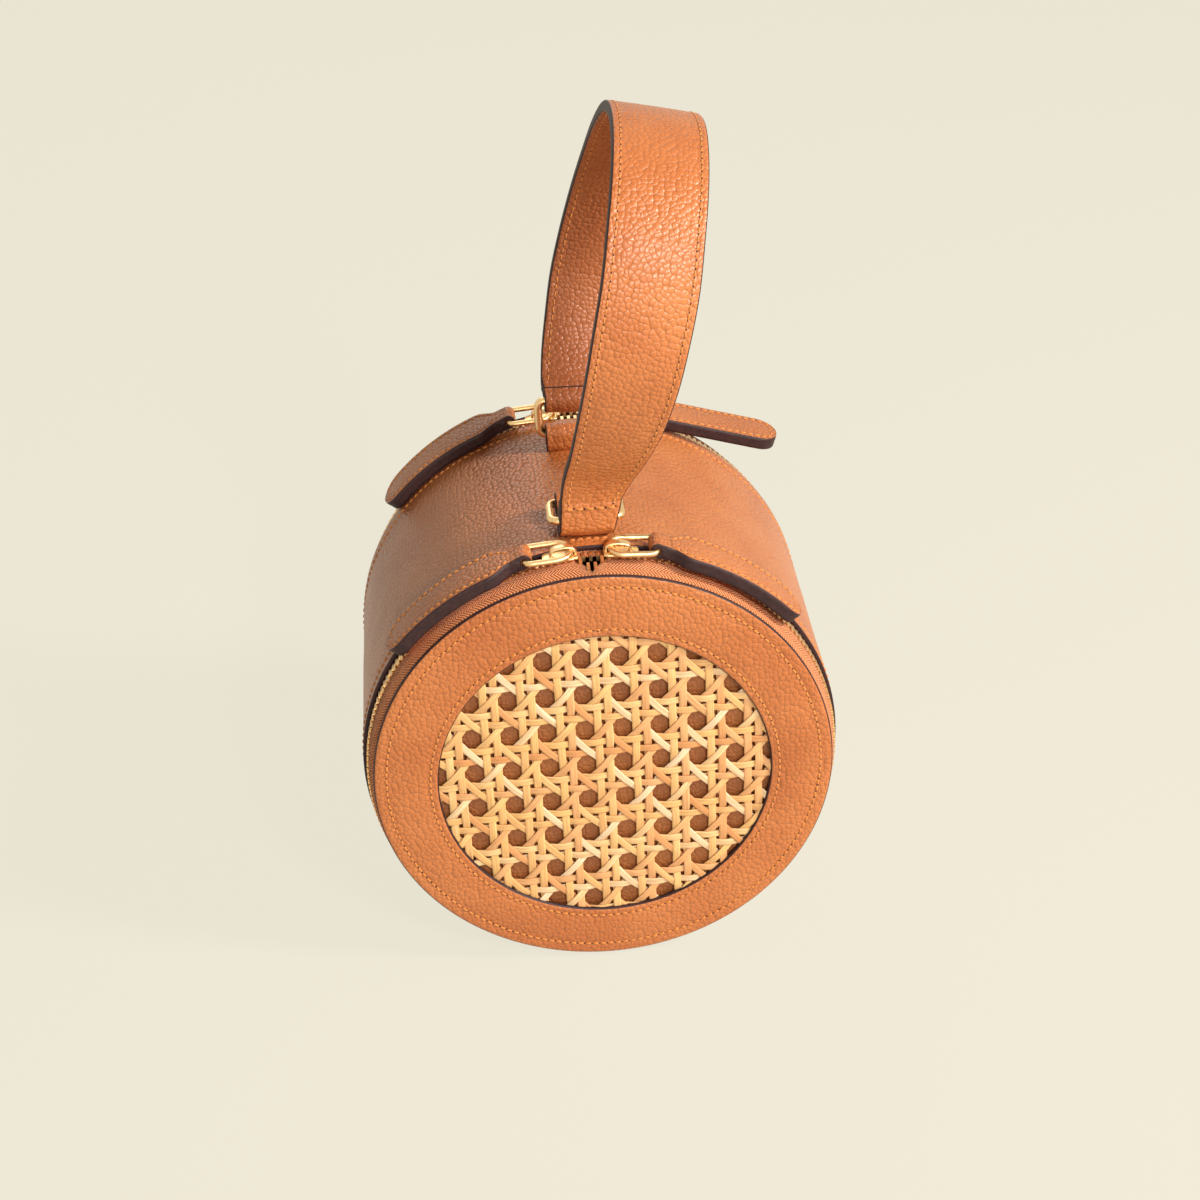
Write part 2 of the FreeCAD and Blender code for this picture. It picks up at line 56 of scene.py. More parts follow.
rim_stitch_y = 41.7 * MM
stitch_groove = 0.22 * MM
groove_half_width = 2.2 * MM
wall_wave = 0.16 * MM


def linear(hex_colour):
    # an sRGB hex colour as linear RGBA
    parts = [int(hex_colour[k:k + 2], 16) / 255 for k in (1, 3, 5)]
    return [c / 12.92 if c <= 0.04045 else ((c + 0.055) / 1.055) ** 2.4 for c in parts] + [1.0]


def give(tree, node, inputs):
    # fills a node's inputs: a node stands for its first output, a socket is linked, the rest are
    # plain values, and a tuple fills the inputs in their order
    for key, value in (inputs if isinstance(inputs, dict) else dict(enumerate(inputs))).items():
        if isinstance(value, bpy.types.Node):
            value = value.outputs[0]
        if isinstance(value, bpy.types.NodeSocket):
            tree.links.new(value, node.inputs[key])
        else:
            node.inputs[key].default_value = value


def add(tree, kind, inputs=(), **settings):
    # one node with its settings, values and links
    made = tree.nodes.new(kind)
    for key, value in settings.items():
        setattr(made, key, value)
    give(tree, made, inputs)
    return made


def new_material(name):
    material = bpy.data.materials.new(name)
    material.use_nodes = True
    tree = material.node_tree
    tree.nodes.clear()
    shader = add(tree, "ShaderNodeBsdfPrincipled")
    add(tree, "ShaderNodeOutputMaterial", {"Surface": shader})
    return material, tree, shader


def pebbled_leather(name, light, dark, painted_crease_shade, pebble_mm, dome_mm, gloss):
    # Drum-tumbled cowhide: small domed pebbles, each about 2 mm across, with thin creases between
    # them, fine pores over them, a satin finish, and a colour that drifts over the hide.
    material, tree, shader = new_material(name)
    place = add(tree, "ShaderNodeTexCoord").outputs["Object"]
    hide = add(tree, "ShaderNodeUVMap", uv_map="along_across")
    scale = 1 / (pebble_mm * MM)
    warp = add(tree, "ShaderNodeTexNoise", {"Vector": hide, "Scale": 0.45 * scale, "Detail": 1.5})
    shift = add(tree, "ShaderNodeVectorMath", {0: warp.outputs["Color"], 1: (0.5, 0.5, 0.5)},
        operation="SUBTRACT")
    shift = add(tree, "ShaderNodeVectorMath", {0: shift, "Scale": 0.6 / scale}, operation="SCALE")
    moved = add(tree, "ShaderNodeVectorMath", (hide, shift)).outputs[0]
    cells = {"Vector": moved, "Scale": scale, "Randomness": 0.86}
    middle = add(tree, "ShaderNodeTexVoronoi", cells, voronoi_dimensions="2D", feature="F1")
    border = add(tree, "ShaderNodeTexVoronoi", cells, voronoi_dimensions="2D",
        feature="DISTANCE_TO_EDGE")
    away = add(tree, "ShaderNodeMath", {0: middle.outputs["Distance"], 1: 2.0}, operation="POWER")
    dome = add(tree, "ShaderNodeMath", (away, -2.8 * dome_mm), operation="MULTIPLY")
    pebble = add(tree, "ShaderNodeMapRange", {"Value": border.outputs["Distance"],
        "From Max": 0.27}, interpolation_type="SMOOTHSTEP").outputs[0]
    height = add(tree, "ShaderNodeMath", (pebble, 0.35 * dome_mm, dome), operation="MULTIPLY_ADD")
    wrinkle = add(tree, "ShaderNodeTexNoise", {"Vector": moved, "Scale": 1.6 * scale, "Detail": 3.0,
        "Roughness": 0.6})
    height = add(tree, "ShaderNodeMath", (wrinkle, 0.10, height), operation="MULTIPLY_ADD")
    pores = add(tree, "ShaderNodeTexNoise", {"Vector": place, "Scale": 2600.0, "Detail": 3.0})
    height = add(tree, "ShaderNodeMath", (pores, 0.03, height), operation="MULTIPLY_ADD")
    bump = add(tree, "ShaderNodeBump", {"Height": height, "Distance": MM, "Strength": 1.0})
    drift = add(tree, "ShaderNodeTexNoise", {"Vector": place, "Scale": 22.0, "Detail": 5.0,
        "Roughness": 0.6})
    drift = add(tree, "ShaderNodeMapRange", {"Value": drift, "From Min": 0.36, "From Max": 0.64})
    tint = add(tree, "ShaderNodeMix", {"Factor": drift, "A": linear(dark), "B": linear(light)},
        data_type="RGBA")
    # the creases between the pebbles are darkened towards the third colour: painted shade in the
    # creases
    crease_shade_share = add(tree, "ShaderNodeMapRange", {"Value": pebble, "To Min": 0.12, "To Max": 0.0})
    colour = add(tree, "ShaderNodeMix", {"Factor": crease_shade_share, "A": tint.outputs[2], "B": linear(painted_crease_shade)},
        data_type="RGBA")
    rough = add(tree, "ShaderNodeMapRange", {"Value": pebble, "To Min": gloss + 0.14,
        "To Max": gloss - 0.04})
    give(tree, shader, {"Base Color": colour.outputs[2], "Roughness": rough, "Normal": bump,
        "IOR": 1.5, "Coat Weight": 0.05, "Coat Roughness": 0.3})
    return material


def mottled(name, dark, light, grain, detail, bump_mm, bump_strength, finish, spread=(0.0, 1.0)):
    # A material that fine noise mottles from dark to light, with a bump of this depth.
    material, tree, shader = new_material(name)
    place = add(tree, "ShaderNodeTexCoord").outputs["Object"]
    lumps = add(tree, "ShaderNodeTexNoise", {"Vector": place, "Scale": grain, "Detail": detail})
    share = add(tree, "ShaderNodeMapRange", {"Value": lumps, "From Min": spread[0],
        "From Max": spread[1]})
    tint = add(tree, "ShaderNodeMix", {"Factor": share, "A": linear(dark), "B": linear(light)},
        data_type="RGBA")
    give(tree, shader, {"Base Color": tint.outputs[2], **finish})
    if bump_mm:
        bump = add(tree, "ShaderNodeBump", {"Height": lumps, "Distance": bump_mm * MM,
            "Strength": bump_strength})
        give(tree, shader, {"Normal": bump})
    return material


# the third colour is the painted shade in the creases between the pebbles
tan_leather = pebbled_leather("tan_pebbled_cowhide", "#CB7B43", "#B96833", "#84441C",
    pebble_mm=1.75, dome_mm=0.13, gloss=0.32)
# Acrylic edge paint over a cut leather edge: dark, slightly lumpy and half glossy.
painted_edge = mottled("dark_edge_paint", "#2B1618", "#3D2322", grain=700.0, detail=3.0,
    bump_mm=0.12, bump_strength=0.7, finish={"Roughness": 0.52, "Specular IOR Level": 0.35},
    spread=(0.35, 0.75))


def around(radius, angle, y):
    # a point at this radius from the drum's axis and this many degrees from the top to the right
    turn = math.radians(angle)
    return Vector((radius * math.sin(turn), y, axis_height + radius * math.cos(turn)))


def flattened(inset, angle):
    # the radius of a drum layer, which is flat where it stands on the floor
    down = -math.cos(math.radians(angle))
    round_part = drum_radius - inset
    return min(round_part, (axis_height - inset) / down) if down > 0.5 else round_part


def put_in(name, data):
    piece = bpy.data.objects.new(name, data)
    bpy.context.scene.collection.objects.link(piece)
    return piece


def stand_for(piece, node, body):
    # the piece is shown in place of a CAD node, and moves with its body
    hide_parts(node)
    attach(piece, body)


def make_piece(name, points, faces, materials, slots=None, uvs=None):
    mesh = bpy.data.meshes.new(name)
    mesh.from_pydata(points, [], faces)
    for material in materials:
        mesh.materials.append(material)
    if slots:
        mesh.polygons.foreach_set("material_index", slots)
    mesh.polygons.foreach_set("use_smooth", [True] * len(faces))
    if uvs:
        layer = mesh.uv_layers.new(name="along_across")
        layer.data.foreach_set("uv", [c for corner in uvs for c in corner])
    mesh.validate()
    return put_in(name, mesh)


def sweep(name, sections, materials, slot_of, closed=False, uvs=None, cap_slot=0):
    # joins closed cross-sections one after another, and caps the two ends of an open run. The
    # UVs are metres along the run and across it, unless uvs gives each point its own.
    count = len(sections[0])
    points = [p for section in sections for p in section]
    faces, slots, corners = [], [], []
    runs = len(sections) if closed else len(sections) - 1
    along = 0.0
    for i in range(runs):
        after = (i + 1) % len(sections)
        near, far = i * count, after * count
        step = max((points[far + j] - points[near + j]).length for j in range(count))
        across = [0.0, 0.0]
        for j in range(count):
            k = (j + 1) % count
            faces.append((near + j, near + k, far + k, far + j))
            slots.append(slot_of(i, j))
            wider = [across[0] + (points[near + k] - points[near + j]).length,
                across[1] + (points[far + k] - points[far + j]).length]
            corners += [(along, across[0]), (along, wider[0]), (along + step, wider[1]),
                (along + step, across[1])]
            across = wider
        along += step
    if not closed:
        faces.append(tuple(range(count))[::-1])
        faces.append(tuple(range(len(points) - count, len(points))))
        slots += [cap_slot, cap_slot]
        corners += [(0.0, 0.0)] * (2 * count)
    if uvs:
        corners = [uvs[k] for face in faces for k in face]
    piece = make_piece(name, points, faces, materials, slots, corners)
    fix_normals(piece)
    return piece


def fix_normals(piece):
    form = bmesh.new()
    form.from_mesh(piece.data)
    bmesh.ops.recalc_face_normals(form, faces=form.faces)
    form.to_mesh(piece.data)
    form.free()


def wall_section(angle):
    # the wall's cross-section at this angle: (inset, y) places, with the rims rounded
    places = []
    for k in range(23):
        share = k / 22
        y = (2 * share - 1) * (half_length - rim_round)
        off = abs(abs(y) - rim_stitch_y)
        groove = stitch_groove * max(0.0, 1 - off / groove_half_width)
        wave = wall_wave * noise.noise(Vector((angle / 9, y / (14 * MM), 0.0)))
        places.append((groove + wave if 0 < share < 1 else 0.0, y))
    rim = [(0.12 * MM, 0.18), (0.5 * MM, 0.0), (wall_thickness - 0.5 * MM, 0.0),
        (wall_thickness - 0.12 * MM, 0.18)]
    for inset, share in rim:
        places.append((inset, half_length - share * rim_round))
    places += [(wall_thickness, half_length - rim_round), (wall_thickness, rim_round - half_length)]
    for inset, share in reversed(rim):
        places.append((inset, share * rim_round - half_length))
    return [around(flattened(inset, angle), angle, y) for inset, y in places]


wall = sweep("drum_leather", [wall_section(a) for a in range(360)], [tan_leather, painted_edge],
    lambda i, j: 1 if j >= 22 and j != 27 else 0, closed=True)
stand_for(wall, "drum_wall", "drum")

# ---------------------------------------------------------------- Stitches on the drum
# Thick bonded polyester thread, machine sewn at about 2.7 mm a stitch. Each stitch dips into a
# needle hole at both ends, and the holes show as dark dots.
stitch_pitch = 2.7 * MM
stitch_length = 2.05 * MM
thread_width = 0.86 * MM


# Bonded polyester thread, orange-tan, with the twist of its plies just showing.
thread = mottled("bonded_polyester_thread", "#B66E2C", "#E18F3C", grain=1500.0, detail=2.0,
    bump_mm=0.08, bump_strength=0.6, finish={"Roughness": 0.55, "Sheen Weight": 0.2})
# The shadow inside a hole that a needle made in dyed leather.
hole_shadow = mottled("needle_hole", "#3A1A0C", "#5A2C14", grain=900.0, detail=2.0, bump_mm=0,
    bump_strength=0, finish={"Roughness": 0.8})


def name_inputs(tree, inputs):
    tree.interface.new_socket(name="Geometry", in_out="INPUT", socket_type="NodeSocketGeometry")
    for name, kind in inputs.items():
        tree.interface.new_socket(name=name, in_out="INPUT", socket_type="NodeSocket" + kind)
    tree.interface.new_socket(name="Geometry", in_out="OUTPUT", socket_type="NodeSocketGeometry")


def stitch_row_tree():
    tree = bpy.data.node_groups.new("stitch_row", "GeometryNodeTree")
    name_inputs(tree, {"Stitch Pitch": "Float", "Stitch Length": "Float", "Thread Width": "Float",
        "Thread": "Material", "Hole": "Material"})
    given = add(tree, "NodeGroupInput").outputs
    path = add(tree, "GeometryNodeMeshToCurve", {"Mesh": given["Geometry"]})
    rail = add(tree, "GeometryNodeResampleCurve", {"Curve": path, "Length": given["Stitch Pitch"]},
        mode="LENGTH")
    tangent = add(tree, "GeometryNodeInputTangent")
    out = add(tree, "GeometryNodeInputNamedAttribute", {"Name": "out"}, data_type="FLOAT_VECTOR")
    turn = add(tree, "FunctionNodeAlignRotationToVector", {"Vector": tangent}, axis="X")
    turn = add(tree, "FunctionNodeAlignRotationToVector", {"Rotation": turn, "Vector": out},
        axis="Z", pivot_axis="X")
    half, back, ahead, sunk, crown, girth, pierced_wide = [
        add(tree, "ShaderNodeMath", (given[size], share), operation="MULTIPLY")
        for size, share in (("Stitch Length", 0.5), ("Stitch Length", -0.5), ("Stitch Pitch", 0.5),
            ("Thread Width", -0.55), ("Thread Width", 0.95), ("Thread Width", 0.5),
            ("Thread Width", 0.62))]
    start = add(tree, "ShaderNodeCombineXYZ", {0: back, 2: sunk})
    middle = add(tree, "ShaderNodeCombineXYZ", {2: crown})
    end = add(tree, "ShaderNodeCombineXYZ", {0: half, 2: sunk})
    bow = add(tree, "GeometryNodeCurveQuadraticBezier", {"Resolution": 5, "Start": start,
        "Middle": middle, "End": end})
    ring = add(tree, "GeometryNodeCurvePrimitiveCircle", {"Resolution": 6, "Radius": girth})
    stitch = add(tree, "GeometryNodeCurveToMesh", {"Curve": bow, "Profile Curve": ring,
        "Fill Caps": True})
    sewn = add(tree, "GeometryNodeInstanceOnPoints", {"Points": rail, "Instance": stitch,
        "Rotation": turn})
    sewn = add(tree, "GeometryNodeRealizeInstances", {0: sewn})
    sewn = add(tree, "GeometryNodeSetMaterial", {0: sewn, "Material": given["Thread"]})
    dot = add(tree, "GeometryNodeMeshCircle", {"Vertices": 6, "Radius": pierced_wide},
        fill_type="NGON")
    above = add(tree, "ShaderNodeCombineXYZ", {0: ahead, 2: 0.05 * MM})
    dot = add(tree, "GeometryNodeTransform", {"Geometry": dot, "Translation": above})
    pierced = add(tree, "GeometryNodeInstanceOnPoints", {"Points": rail, "Instance": dot,
        "Rotation": turn})
    pierced = add(tree, "GeometryNodeRealizeInstances", {0: pierced})
    pierced = add(tree, "GeometryNodeSetMaterial", {0: pierced, "Material": given["Hole"]})
    both = add(tree, "GeometryNodeJoinGeometry")
    tree.links.new(sewn.outputs[0], both.inputs[0])
    tree.links.new(pierced.outputs[0], both.inputs[0])
    add(tree, "NodeGroupOutput", {0: both})
    return tree


def grow(name, tree, values, start=None):
    # runs a tree on a start mesh and keeps its result as a plain mesh
    holder = put_in(name, start or bpy.data.meshes.new(name + "_start"))
    grower = holder.modifiers.new("form", "NODES")
    grower.node_group = tree
    for item in tree.interface.items_tree:
        if item.in_out == "INPUT" and item.name in values:
            grower[item.identifier] = values[item.name]
    bpy.context.view_layer.update()
    ready = holder.evaluated_get(bpy.context.evaluated_depsgraph_get())
    mesh = bpy.data.meshes.new_from_object(ready)
    holder.modifiers.clear()
    holder.data = mesh
    mesh.polygons.foreach_set("use_smooth", [True] * len(mesh.polygons))
    return holder


stitch_row = stitch_row_tree()


def sew(name, body, rows, width=thread_width, pitch=stitch_pitch, length=stitch_length):
    # rows of stitches along paths of (point, outward direction), for the pieces of one body
    points, edges, outs = [], [], []
    for row in rows:
        first = len(points)
        points += [p for p, _ in row]
        outs += [d for _, d in row]
        edges += [(k, k + 1) for k in range(first, len(points) - 1)]
    mesh = bpy.data.meshes.new(name + "_path")
    mesh.from_pydata(points, edges, [])
    layer = mesh.attributes.new("out", "FLOAT_VECTOR", "POINT")
    layer.data.foreach_set("vector", [c for d in outs for c in d])
    made = grow(name, stitch_row, {"Stitch Pitch": pitch, "Stitch Length": length,
        "Thread Width": width, "Thread": thread, "Hole": hole_shadow}, mesh)
    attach(made, body)
    return made


rim_rows = []
for y in (-rim_stitch_y, rim_stitch_y):
    row = []
    for k in range(0, 361, 2):
        radius = flattened(stitch_groove, k)
        row.append((around(radius, k, y), around(1, k, 0) - around(0, k, 0)))
    rim_rows.append(row)
sew("rim_stitches", "drum", rim_rows)

# ---------------------------------------------------------------- Lining
# Woven cotton cloth, glued inside the drum over its board and behind each lid's board, and a
# little slack between its seams.
lining_end = 45.5 * MM
lining_inset = 3.2 * MM
lining_thickness = 0.6 * MM


def plain_weave(name, light, dark, thread_mm):
    # Plain-woven cotton: warp and weft cross one over one, and slubs thicken some threads.
    material, tree, shader = new_material(name)
    uv = add(tree, "ShaderNodeUVMap", uv_map="along_across")
    parts = add(tree, "ShaderNodeSeparateXYZ", {0: uv}).outputs
    waves = []
    for k in (0, 1):
        turned = add(tree, "ShaderNodeMath", (parts[k], math.pi / (thread_mm * MM)),
            operation="MULTIPLY")
        waves.append(add(tree, "ShaderNodeMath", {0: turned}, operation="SINE"))
    crossed = add(tree, "ShaderNodeMath", waves, operation="MULTIPLY")
    slubs = add(tree, "ShaderNodeTexNoise", {"Vector": uv, "Scale": 240.0, "Detail": 4.0})
    raised = add(tree, "ShaderNodeMath", (slubs, 1.5, crossed), operation="MULTIPLY_ADD")
    tint = add(tree, "ShaderNodeMapRange", {"Value": raised, "From Min": -0.4, "From Max": 1.9})
    colour = add(tree, "ShaderNodeMix", {"Factor": tint, "A": linear(dark), "B": linear(light)},
        data_type="RGBA")
    bump = add(tree, "ShaderNodeBump", {"Height": raised, "Distance": 0.08 * MM})
    give(tree, shader, {"Base Color": colour.outputs[2], "Normal": bump, "Roughness": 0.85,
        "Sheen Weight": 0.25})
    return material


lining_cloth = plain_weave("plain_woven_cotton", "#B08A62", "#8C6A48", thread_mm=1.0)


def lining_section(angle):
    # the cloth's cross-section, with a little slack in it
    ys = [(2 * k / 12 - 1) * lining_end for k in range(13)]
    outer = [(lining_inset, y) for y in ys]
    inner = []
    for y in reversed(ys):
        slack = 0.1 * MM * noise.noise(Vector((angle / 7, y / (9 * MM), 4.0)))
        inner.append((lining_inset + lining_thickness + slack, y))
    return [around(flattened(inset, angle), angle, y) for inset, y in outer + inner]


lining = sweep("drum_lining_cloth", [lining_section(2 * k) for k in range(180)], [lining_cloth],
    lambda i, j: 0, closed=True)
stand_for(lining, "drum_lining", "drum")

# ---------------------------------------------------------------- Board
# Grey-brown bookbinder's board under the leather of the drum and of each lid: pressed recycled
# fibre, matt and mottled.
board = mottled("greyboard", "#8A8078", "#B3A99D", grain=900.0, detail=6.0, bump_mm=0.1,
    bump_strength=1.0, finish={"Roughness": 0.9})


def dress(node, material):
    # a CAD node that keeps its shape takes the material in every slot
    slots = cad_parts[node].material_slots
    if slots:
        for slot in slots:
            slot.material = material
    else:
        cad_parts[node].data.materials.append(material)


for node in ("drum_board", "front_lid_board", "back_lid_board"):
    dress(node, board)

# ---------------------------------------------------------------- Zip metal
# Teeth, end stops, sliders, pull rings and handle rings: zinc and brass, plated pale gold. Teeth
# and stops keep their CAD shape here and only take the metal.


def pale_gold(name, scratch_mm, rough):
    # Light gold plate over polished zinc: warm, bright, with hairline wear that dulls it.
    material, tree, shader = new_material(name)
    place = add(tree, "ShaderNodeTexCoord").outputs["Object"]
    wear = add(tree, "ShaderNodeTexNoise", {"Vector": place, "Scale": 1 / (scratch_mm * MM),
        "Detail": 5.0})
    tint = add(tree, "ShaderNodeMix", {"Factor": wear, "A": linear("#E8BE84"),
        "B": linear("#FBDBAA")}, data_type="RGBA")
    dull = add(tree, "ShaderNodeMapRange", {"Value": wear, "From Min": 0.3, "From Max": 0.7,
        "To Min": rough - 0.06, "To Max": rough + 0.10})
    give(tree, shader, {"Base Color": tint.outputs[2], "Roughness": dull, "Metallic": 1.0})
    return material


gold_plate = pale_gold("light_gold_plated_zinc", scratch_mm=2.5, rough=0.29)
gold_teeth = pale_gold("light_gold_brass_teeth", scratch_mm=1.4, rough=0.33)
for side in ("front", "back"):
    for node in ("body_teeth", "lid_teeth", "zip_stops"):
        dress(side + "_" + node, gold_teeth)

# ---------------------------------------------------------------- Sliders
# Die-cast zinc sliders. Two rounded plates ride above and below the teeth, and a bridge on the
# upper one holds the pull ring.
zip_y = 50.8 * MM
slider_start = 3.0
slider_end = 11.05
slider_width = 7.4 * MM
slider_steps = 26
slider_plates = ((82.65, 83.9), (78.6, 79.8))
bridge_start = slider_start + 0.45
bridge_length = 5.65
bridge_half_width = 1.55 * MM
bridge_half_height = 0.5 * MM
# how far along the bridge is (a share), and how far from the drum's axis (mm)
bridge_rise = [(0.0, 83.0), (0.0, 84.4), (0.04, 85.5), (0.12, 86.25), (0.25, 86.6), (0.5, 86.75),
               (0.75, 86.6), (0.88, 86.25), (0.96, 85.5), (1.0, 84.4), (1.0, 83.0)]


def plate_section(angle, share, low, high, hand):
    # the plate's cross-section: a rounded bar, narrower at its two ends
    end = min(share, 1 - share) / 0.2
    half = slider_width / 2 * (0.72 + 0.28 * math.sqrt(max(0.0, 1 - (1 - min(end, 1.0)) ** 2)))
    half *= 1.0 - 0.10 * share
    round_off = 0.35 * MM
    outline = [(-half, low + round_off), (-half + round_off, low), (half - round_off, low),
        (half, low + round_off), (half, high - round_off), (half - round_off, high),
        (half * 0.45, high + 0.12 * MM), (0.0, high + 0.16 * MM), (-half * 0.45, high + 0.12 * MM),
        (-half + round_off, high), (-half, high - round_off)]
    return [around(r, hand * angle, -zip_y + y) for y, r in outline]


def slider_parts(name, hand):
    parts = []
    for low, high in slider_plates:
        sections = []
        for k in range(slider_steps + 1):
            share = 0.5 - 0.5 * math.cos(math.pi * k / slider_steps)
            angle = slider_start + (slider_end - slider_start) * share
            sections.append(plate_section(angle, share, low * MM, high * MM, hand))
        parts.append(sweep(name, sections, [gold_plate], lambda i, j: 0))
    # the bridge is a strap of metal that rises from the nose and comes down at the tail
    centres = [around(r * MM, hand * (bridge_start + bridge_length * t), -zip_y)
        for t, r in bridge_rise]
    sections = []
    for k, centre in enumerate(centres):
        ahead = (centres[min(k + 1, 10)] - centres[max(k - 1, 0)]).normalized()
        across = Vector((0, 1, 0))
        out = across.cross(ahead)
        ring = []
        for n in range(12):
            a = 2 * math.pi * n / 12
            wide = math.copysign(abs(math.cos(a)) ** 0.6, math.cos(a)) * bridge_half_width
            tall = math.copysign(abs(math.sin(a)) ** 0.6, math.sin(a)) * bridge_half_height
            ring.append(centre + across * wide + out * tall)
        sections.append(ring)
    parts.append(sweep(name, sections, [gold_plate], lambda i, j: 0))
    return parts


def join(name, parts):
    whole = bmesh.new()
    for part in parts:
        whole.from_mesh(part.data)
    mesh = bpy.data.meshes.new(name)
    whole.to_mesh(mesh)
    whole.free()
    for material in parts[0].data.materials:
        mesh.materials.append(material)
    for part in parts:
        bpy.data.objects.remove(part)
    return put_in(name, mesh)


sides = (("front", -1), ("back", 1))
hands = (("left", -1), ("right", 1))
front_to_back = Matrix.Scale(-1, 4, (0, 1, 0))


def turn_to_back(piece):
    # the back piece is the front one mirrored front to back
    piece.data.transform(front_to_back)
    piece.data.flip_normals()


for side in ("front", "back"):
    for hand_name, hand in hands:
        node = side + "_" + hand_name + "_slider"
        piece = join(node + "_metal", slider_parts(node, hand))
        if side == "back":
            turn_to_back(piece)
        stand_for(piece, node, node)

# ---------------------------------------------------------------- Pull rings and handle rings
# Rounded links bent from wire and plated: small ones through each slider's bridge, and two of
# 3 mm wire that join the strap to the loops on the drum.
pull_bar_near = (6.81359 * MM, 165.89679 * MM)
pull_bar_far = (22.27879 * MM, 164.8587 * MM)
pull_ring_half = 5.7 * MM
pull_near_corner = 4.2 * MM
pull_wire = 2.1 * MM
handle_ring_half = 11.8 * MM
handle_wire = 3.0 * MM
link_corner = 2.6 * MM


def wire_ring(name, start, end, side_way, half, near_corner, far_corner, wire):
    # a link with one bar through start and the other through end, side_way along the bars
    length = (end - start).length
    ahead = (end - start).normalized()
    side_way = side_way.normalized()
    out = side_way.cross(ahead)
    path = []
    for u, v, first in ((half, 0, -90), (half, length, 0), (-half, length, 90), (-half, 0, 180)):
        corner = near_corner if v == 0 else far_corner
        cu = u - math.copysign(corner, u)
        cv = v + (corner if v == 0 else -corner)
        for k in range(7):
            a = math.radians(first + 15 * k)
            path.append((cu + corner * math.cos(a), cv + corner * math.sin(a)))
    finer = []
    for k in range(len(path)):
        (u0, v0), (u1, v1) = path[k], path[(k + 1) % len(path)]
        pieces = max(1, round(math.hypot(u1 - u0, v1 - v0) / (1.2 * MM)))
        finer += [(u0 + (u1 - u0) * n / pieces, v0 + (v1 - v0) * n / pieces) for n in range(pieces)]
    centres = [start + side_way * u + ahead * v for u, v in finer]
    sections = []
    for k, centre in enumerate(centres):
        along = (centres[(k + 1) % len(centres)] - centres[k - 1]).normalized()
        across = out.cross(along)
        sections.append([centre + (across * math.cos(a) + out * math.sin(a)) * wire / 2
            for a in (2 * math.pi * n / 14 for n in range(14))])
    return sweep(name, sections, [gold_plate], lambda i, j: 0, closed=True)


for side, sign in sides:
    for hand_name, hand in hands:
        node = side + "_" + hand_name + "_pull_ring"
        near = Vector((hand * pull_bar_near[0], sign * zip_y, pull_bar_near[1]))
        far = Vector((hand * pull_bar_far[0], sign * zip_y, pull_bar_far[1]))
        piece = wire_ring(node + "_wire", near, far, Vector((0, 1, 0)), pull_ring_half,
            pull_near_corner, link_corner, pull_wire)
        stand_for(piece, node, node)

loop_y = 25.7 * MM
loop_z = 170.07 * MM
front_bar = Vector((0, -38.8966 * MM, 170.3695 * MM))
back_bar = Vector((0, 25.7 * MM, 183.27 * MM))
for side, start, end in (("front", Vector((0, -loop_y, loop_z)), front_bar),
        ("back", Vector((0, loop_y, loop_z)), back_bar)):
    piece = wire_ring(side + "_ring_wire", start, end, Vector((1, 0, 0)), handle_ring_half,
        link_corner, link_corner, handle_wire)
    stand_for(piece, side + "_handle_ring", side + "_handle_ring")

# ---------------------------------------------------------------- Zip tapes
# Woven polyester tape with a herringbone, dyed terracotta. One is sewn under each rim of the
# drum and one under each lid's leather, bending round the lid's edge up to the teeth.
tape_outer = 81.6 * MM
tape_thickness = 0.7 * MM
tape_half_angle = 119.0
lid_face = 61.7 * MM
lid_radius = 80.0 * MM
lid_tape_edge = 10.05 * MM
body_tape_edge = 50.0 * MM
body_tape_width = 12 * MM
lid_leather_back = 1.9 * MM
tape_bend = 5.6 * MM


def zip_tape(name, light, dark):
    # Polyester tape woven in a herringbone: ribs 1.2 mm apart that turn back every 1.9 mm.
    material, tree, shader = new_material(name)
    uv = add(tree, "ShaderNodeUVMap", uv_map="along_across")
    parts = add(tree, "ShaderNodeSeparateXYZ", {0: uv}).outputs
    fold = add(tree, "ShaderNodeMath", (parts[1], 1.9 * MM), operation="PINGPONG")
    lean = add(tree, "ShaderNodeMath", (fold, 1.1, parts[0]), operation="MULTIPLY_ADD")
    turned = add(tree, "ShaderNodeMath", (lean, 2 * math.pi / (1.2 * MM)), operation="MULTIPLY")
    ribs = add(tree, "ShaderNodeMath", {0: turned}, operation="SINE")
    tint = add(tree, "ShaderNodeMapRange", {"Value": ribs, "From Min": -1.0, "To Min": -0.15,
        "To Max": 0.85})
    place = add(tree, "ShaderNodeTexCoord").outputs["Object"]
    fade = add(tree, "ShaderNodeTexNoise", {"Vector": place, "Scale": 300.0, "Detail": 4.0})
    mixed = add(tree, "ShaderNodeMath", (fade, 0.5, tint), operation="MULTIPLY_ADD")
    colour = add(tree, "ShaderNodeMix", {"Factor": mixed, "A": linear(dark), "B": linear(light)},
        data_type="RGBA")
    bump = add(tree, "ShaderNodeBump", {"Height": ribs, "Distance": 0.16 * MM, "Strength": 1.0})
    give(tree, shader, {"Base Color": colour.outputs[2], "Normal": bump, "Roughness": 0.75,
        "Sheen Weight": 0.1})
    return material


terracotta_tape = zip_tape("herringbone_zip_tape", "#F5A066", "#94441A")


def tape_piece(name, outline_at, angles, width_of):
    # outline_at(angle) gives the outer line of (y, radius) places from one edge to the other
    sections, uvs = [], []
    for angle in angles:
        outer = outline_at(angle)
        inner = [(y, r - tape_thickness) for y, r in reversed(outer)]
        sections.append([around(r, angle, y) for y, r in outer + inner])
        across = [width_of(k) for k in range(len(outer))]
        along = math.radians(angle) * tape_outer
        uvs += [(along, v) for v in across + across[::-1]]
    return sweep(name, sections, [terracotta_tape], lambda i, j: 0, uvs=uvs)


mouth_half_angle = 4.25
mouth_drop = 7.2 * MM
tape_angles = [-tape_half_angle + k for k in range(int(2 * tape_half_angle) + 1)]
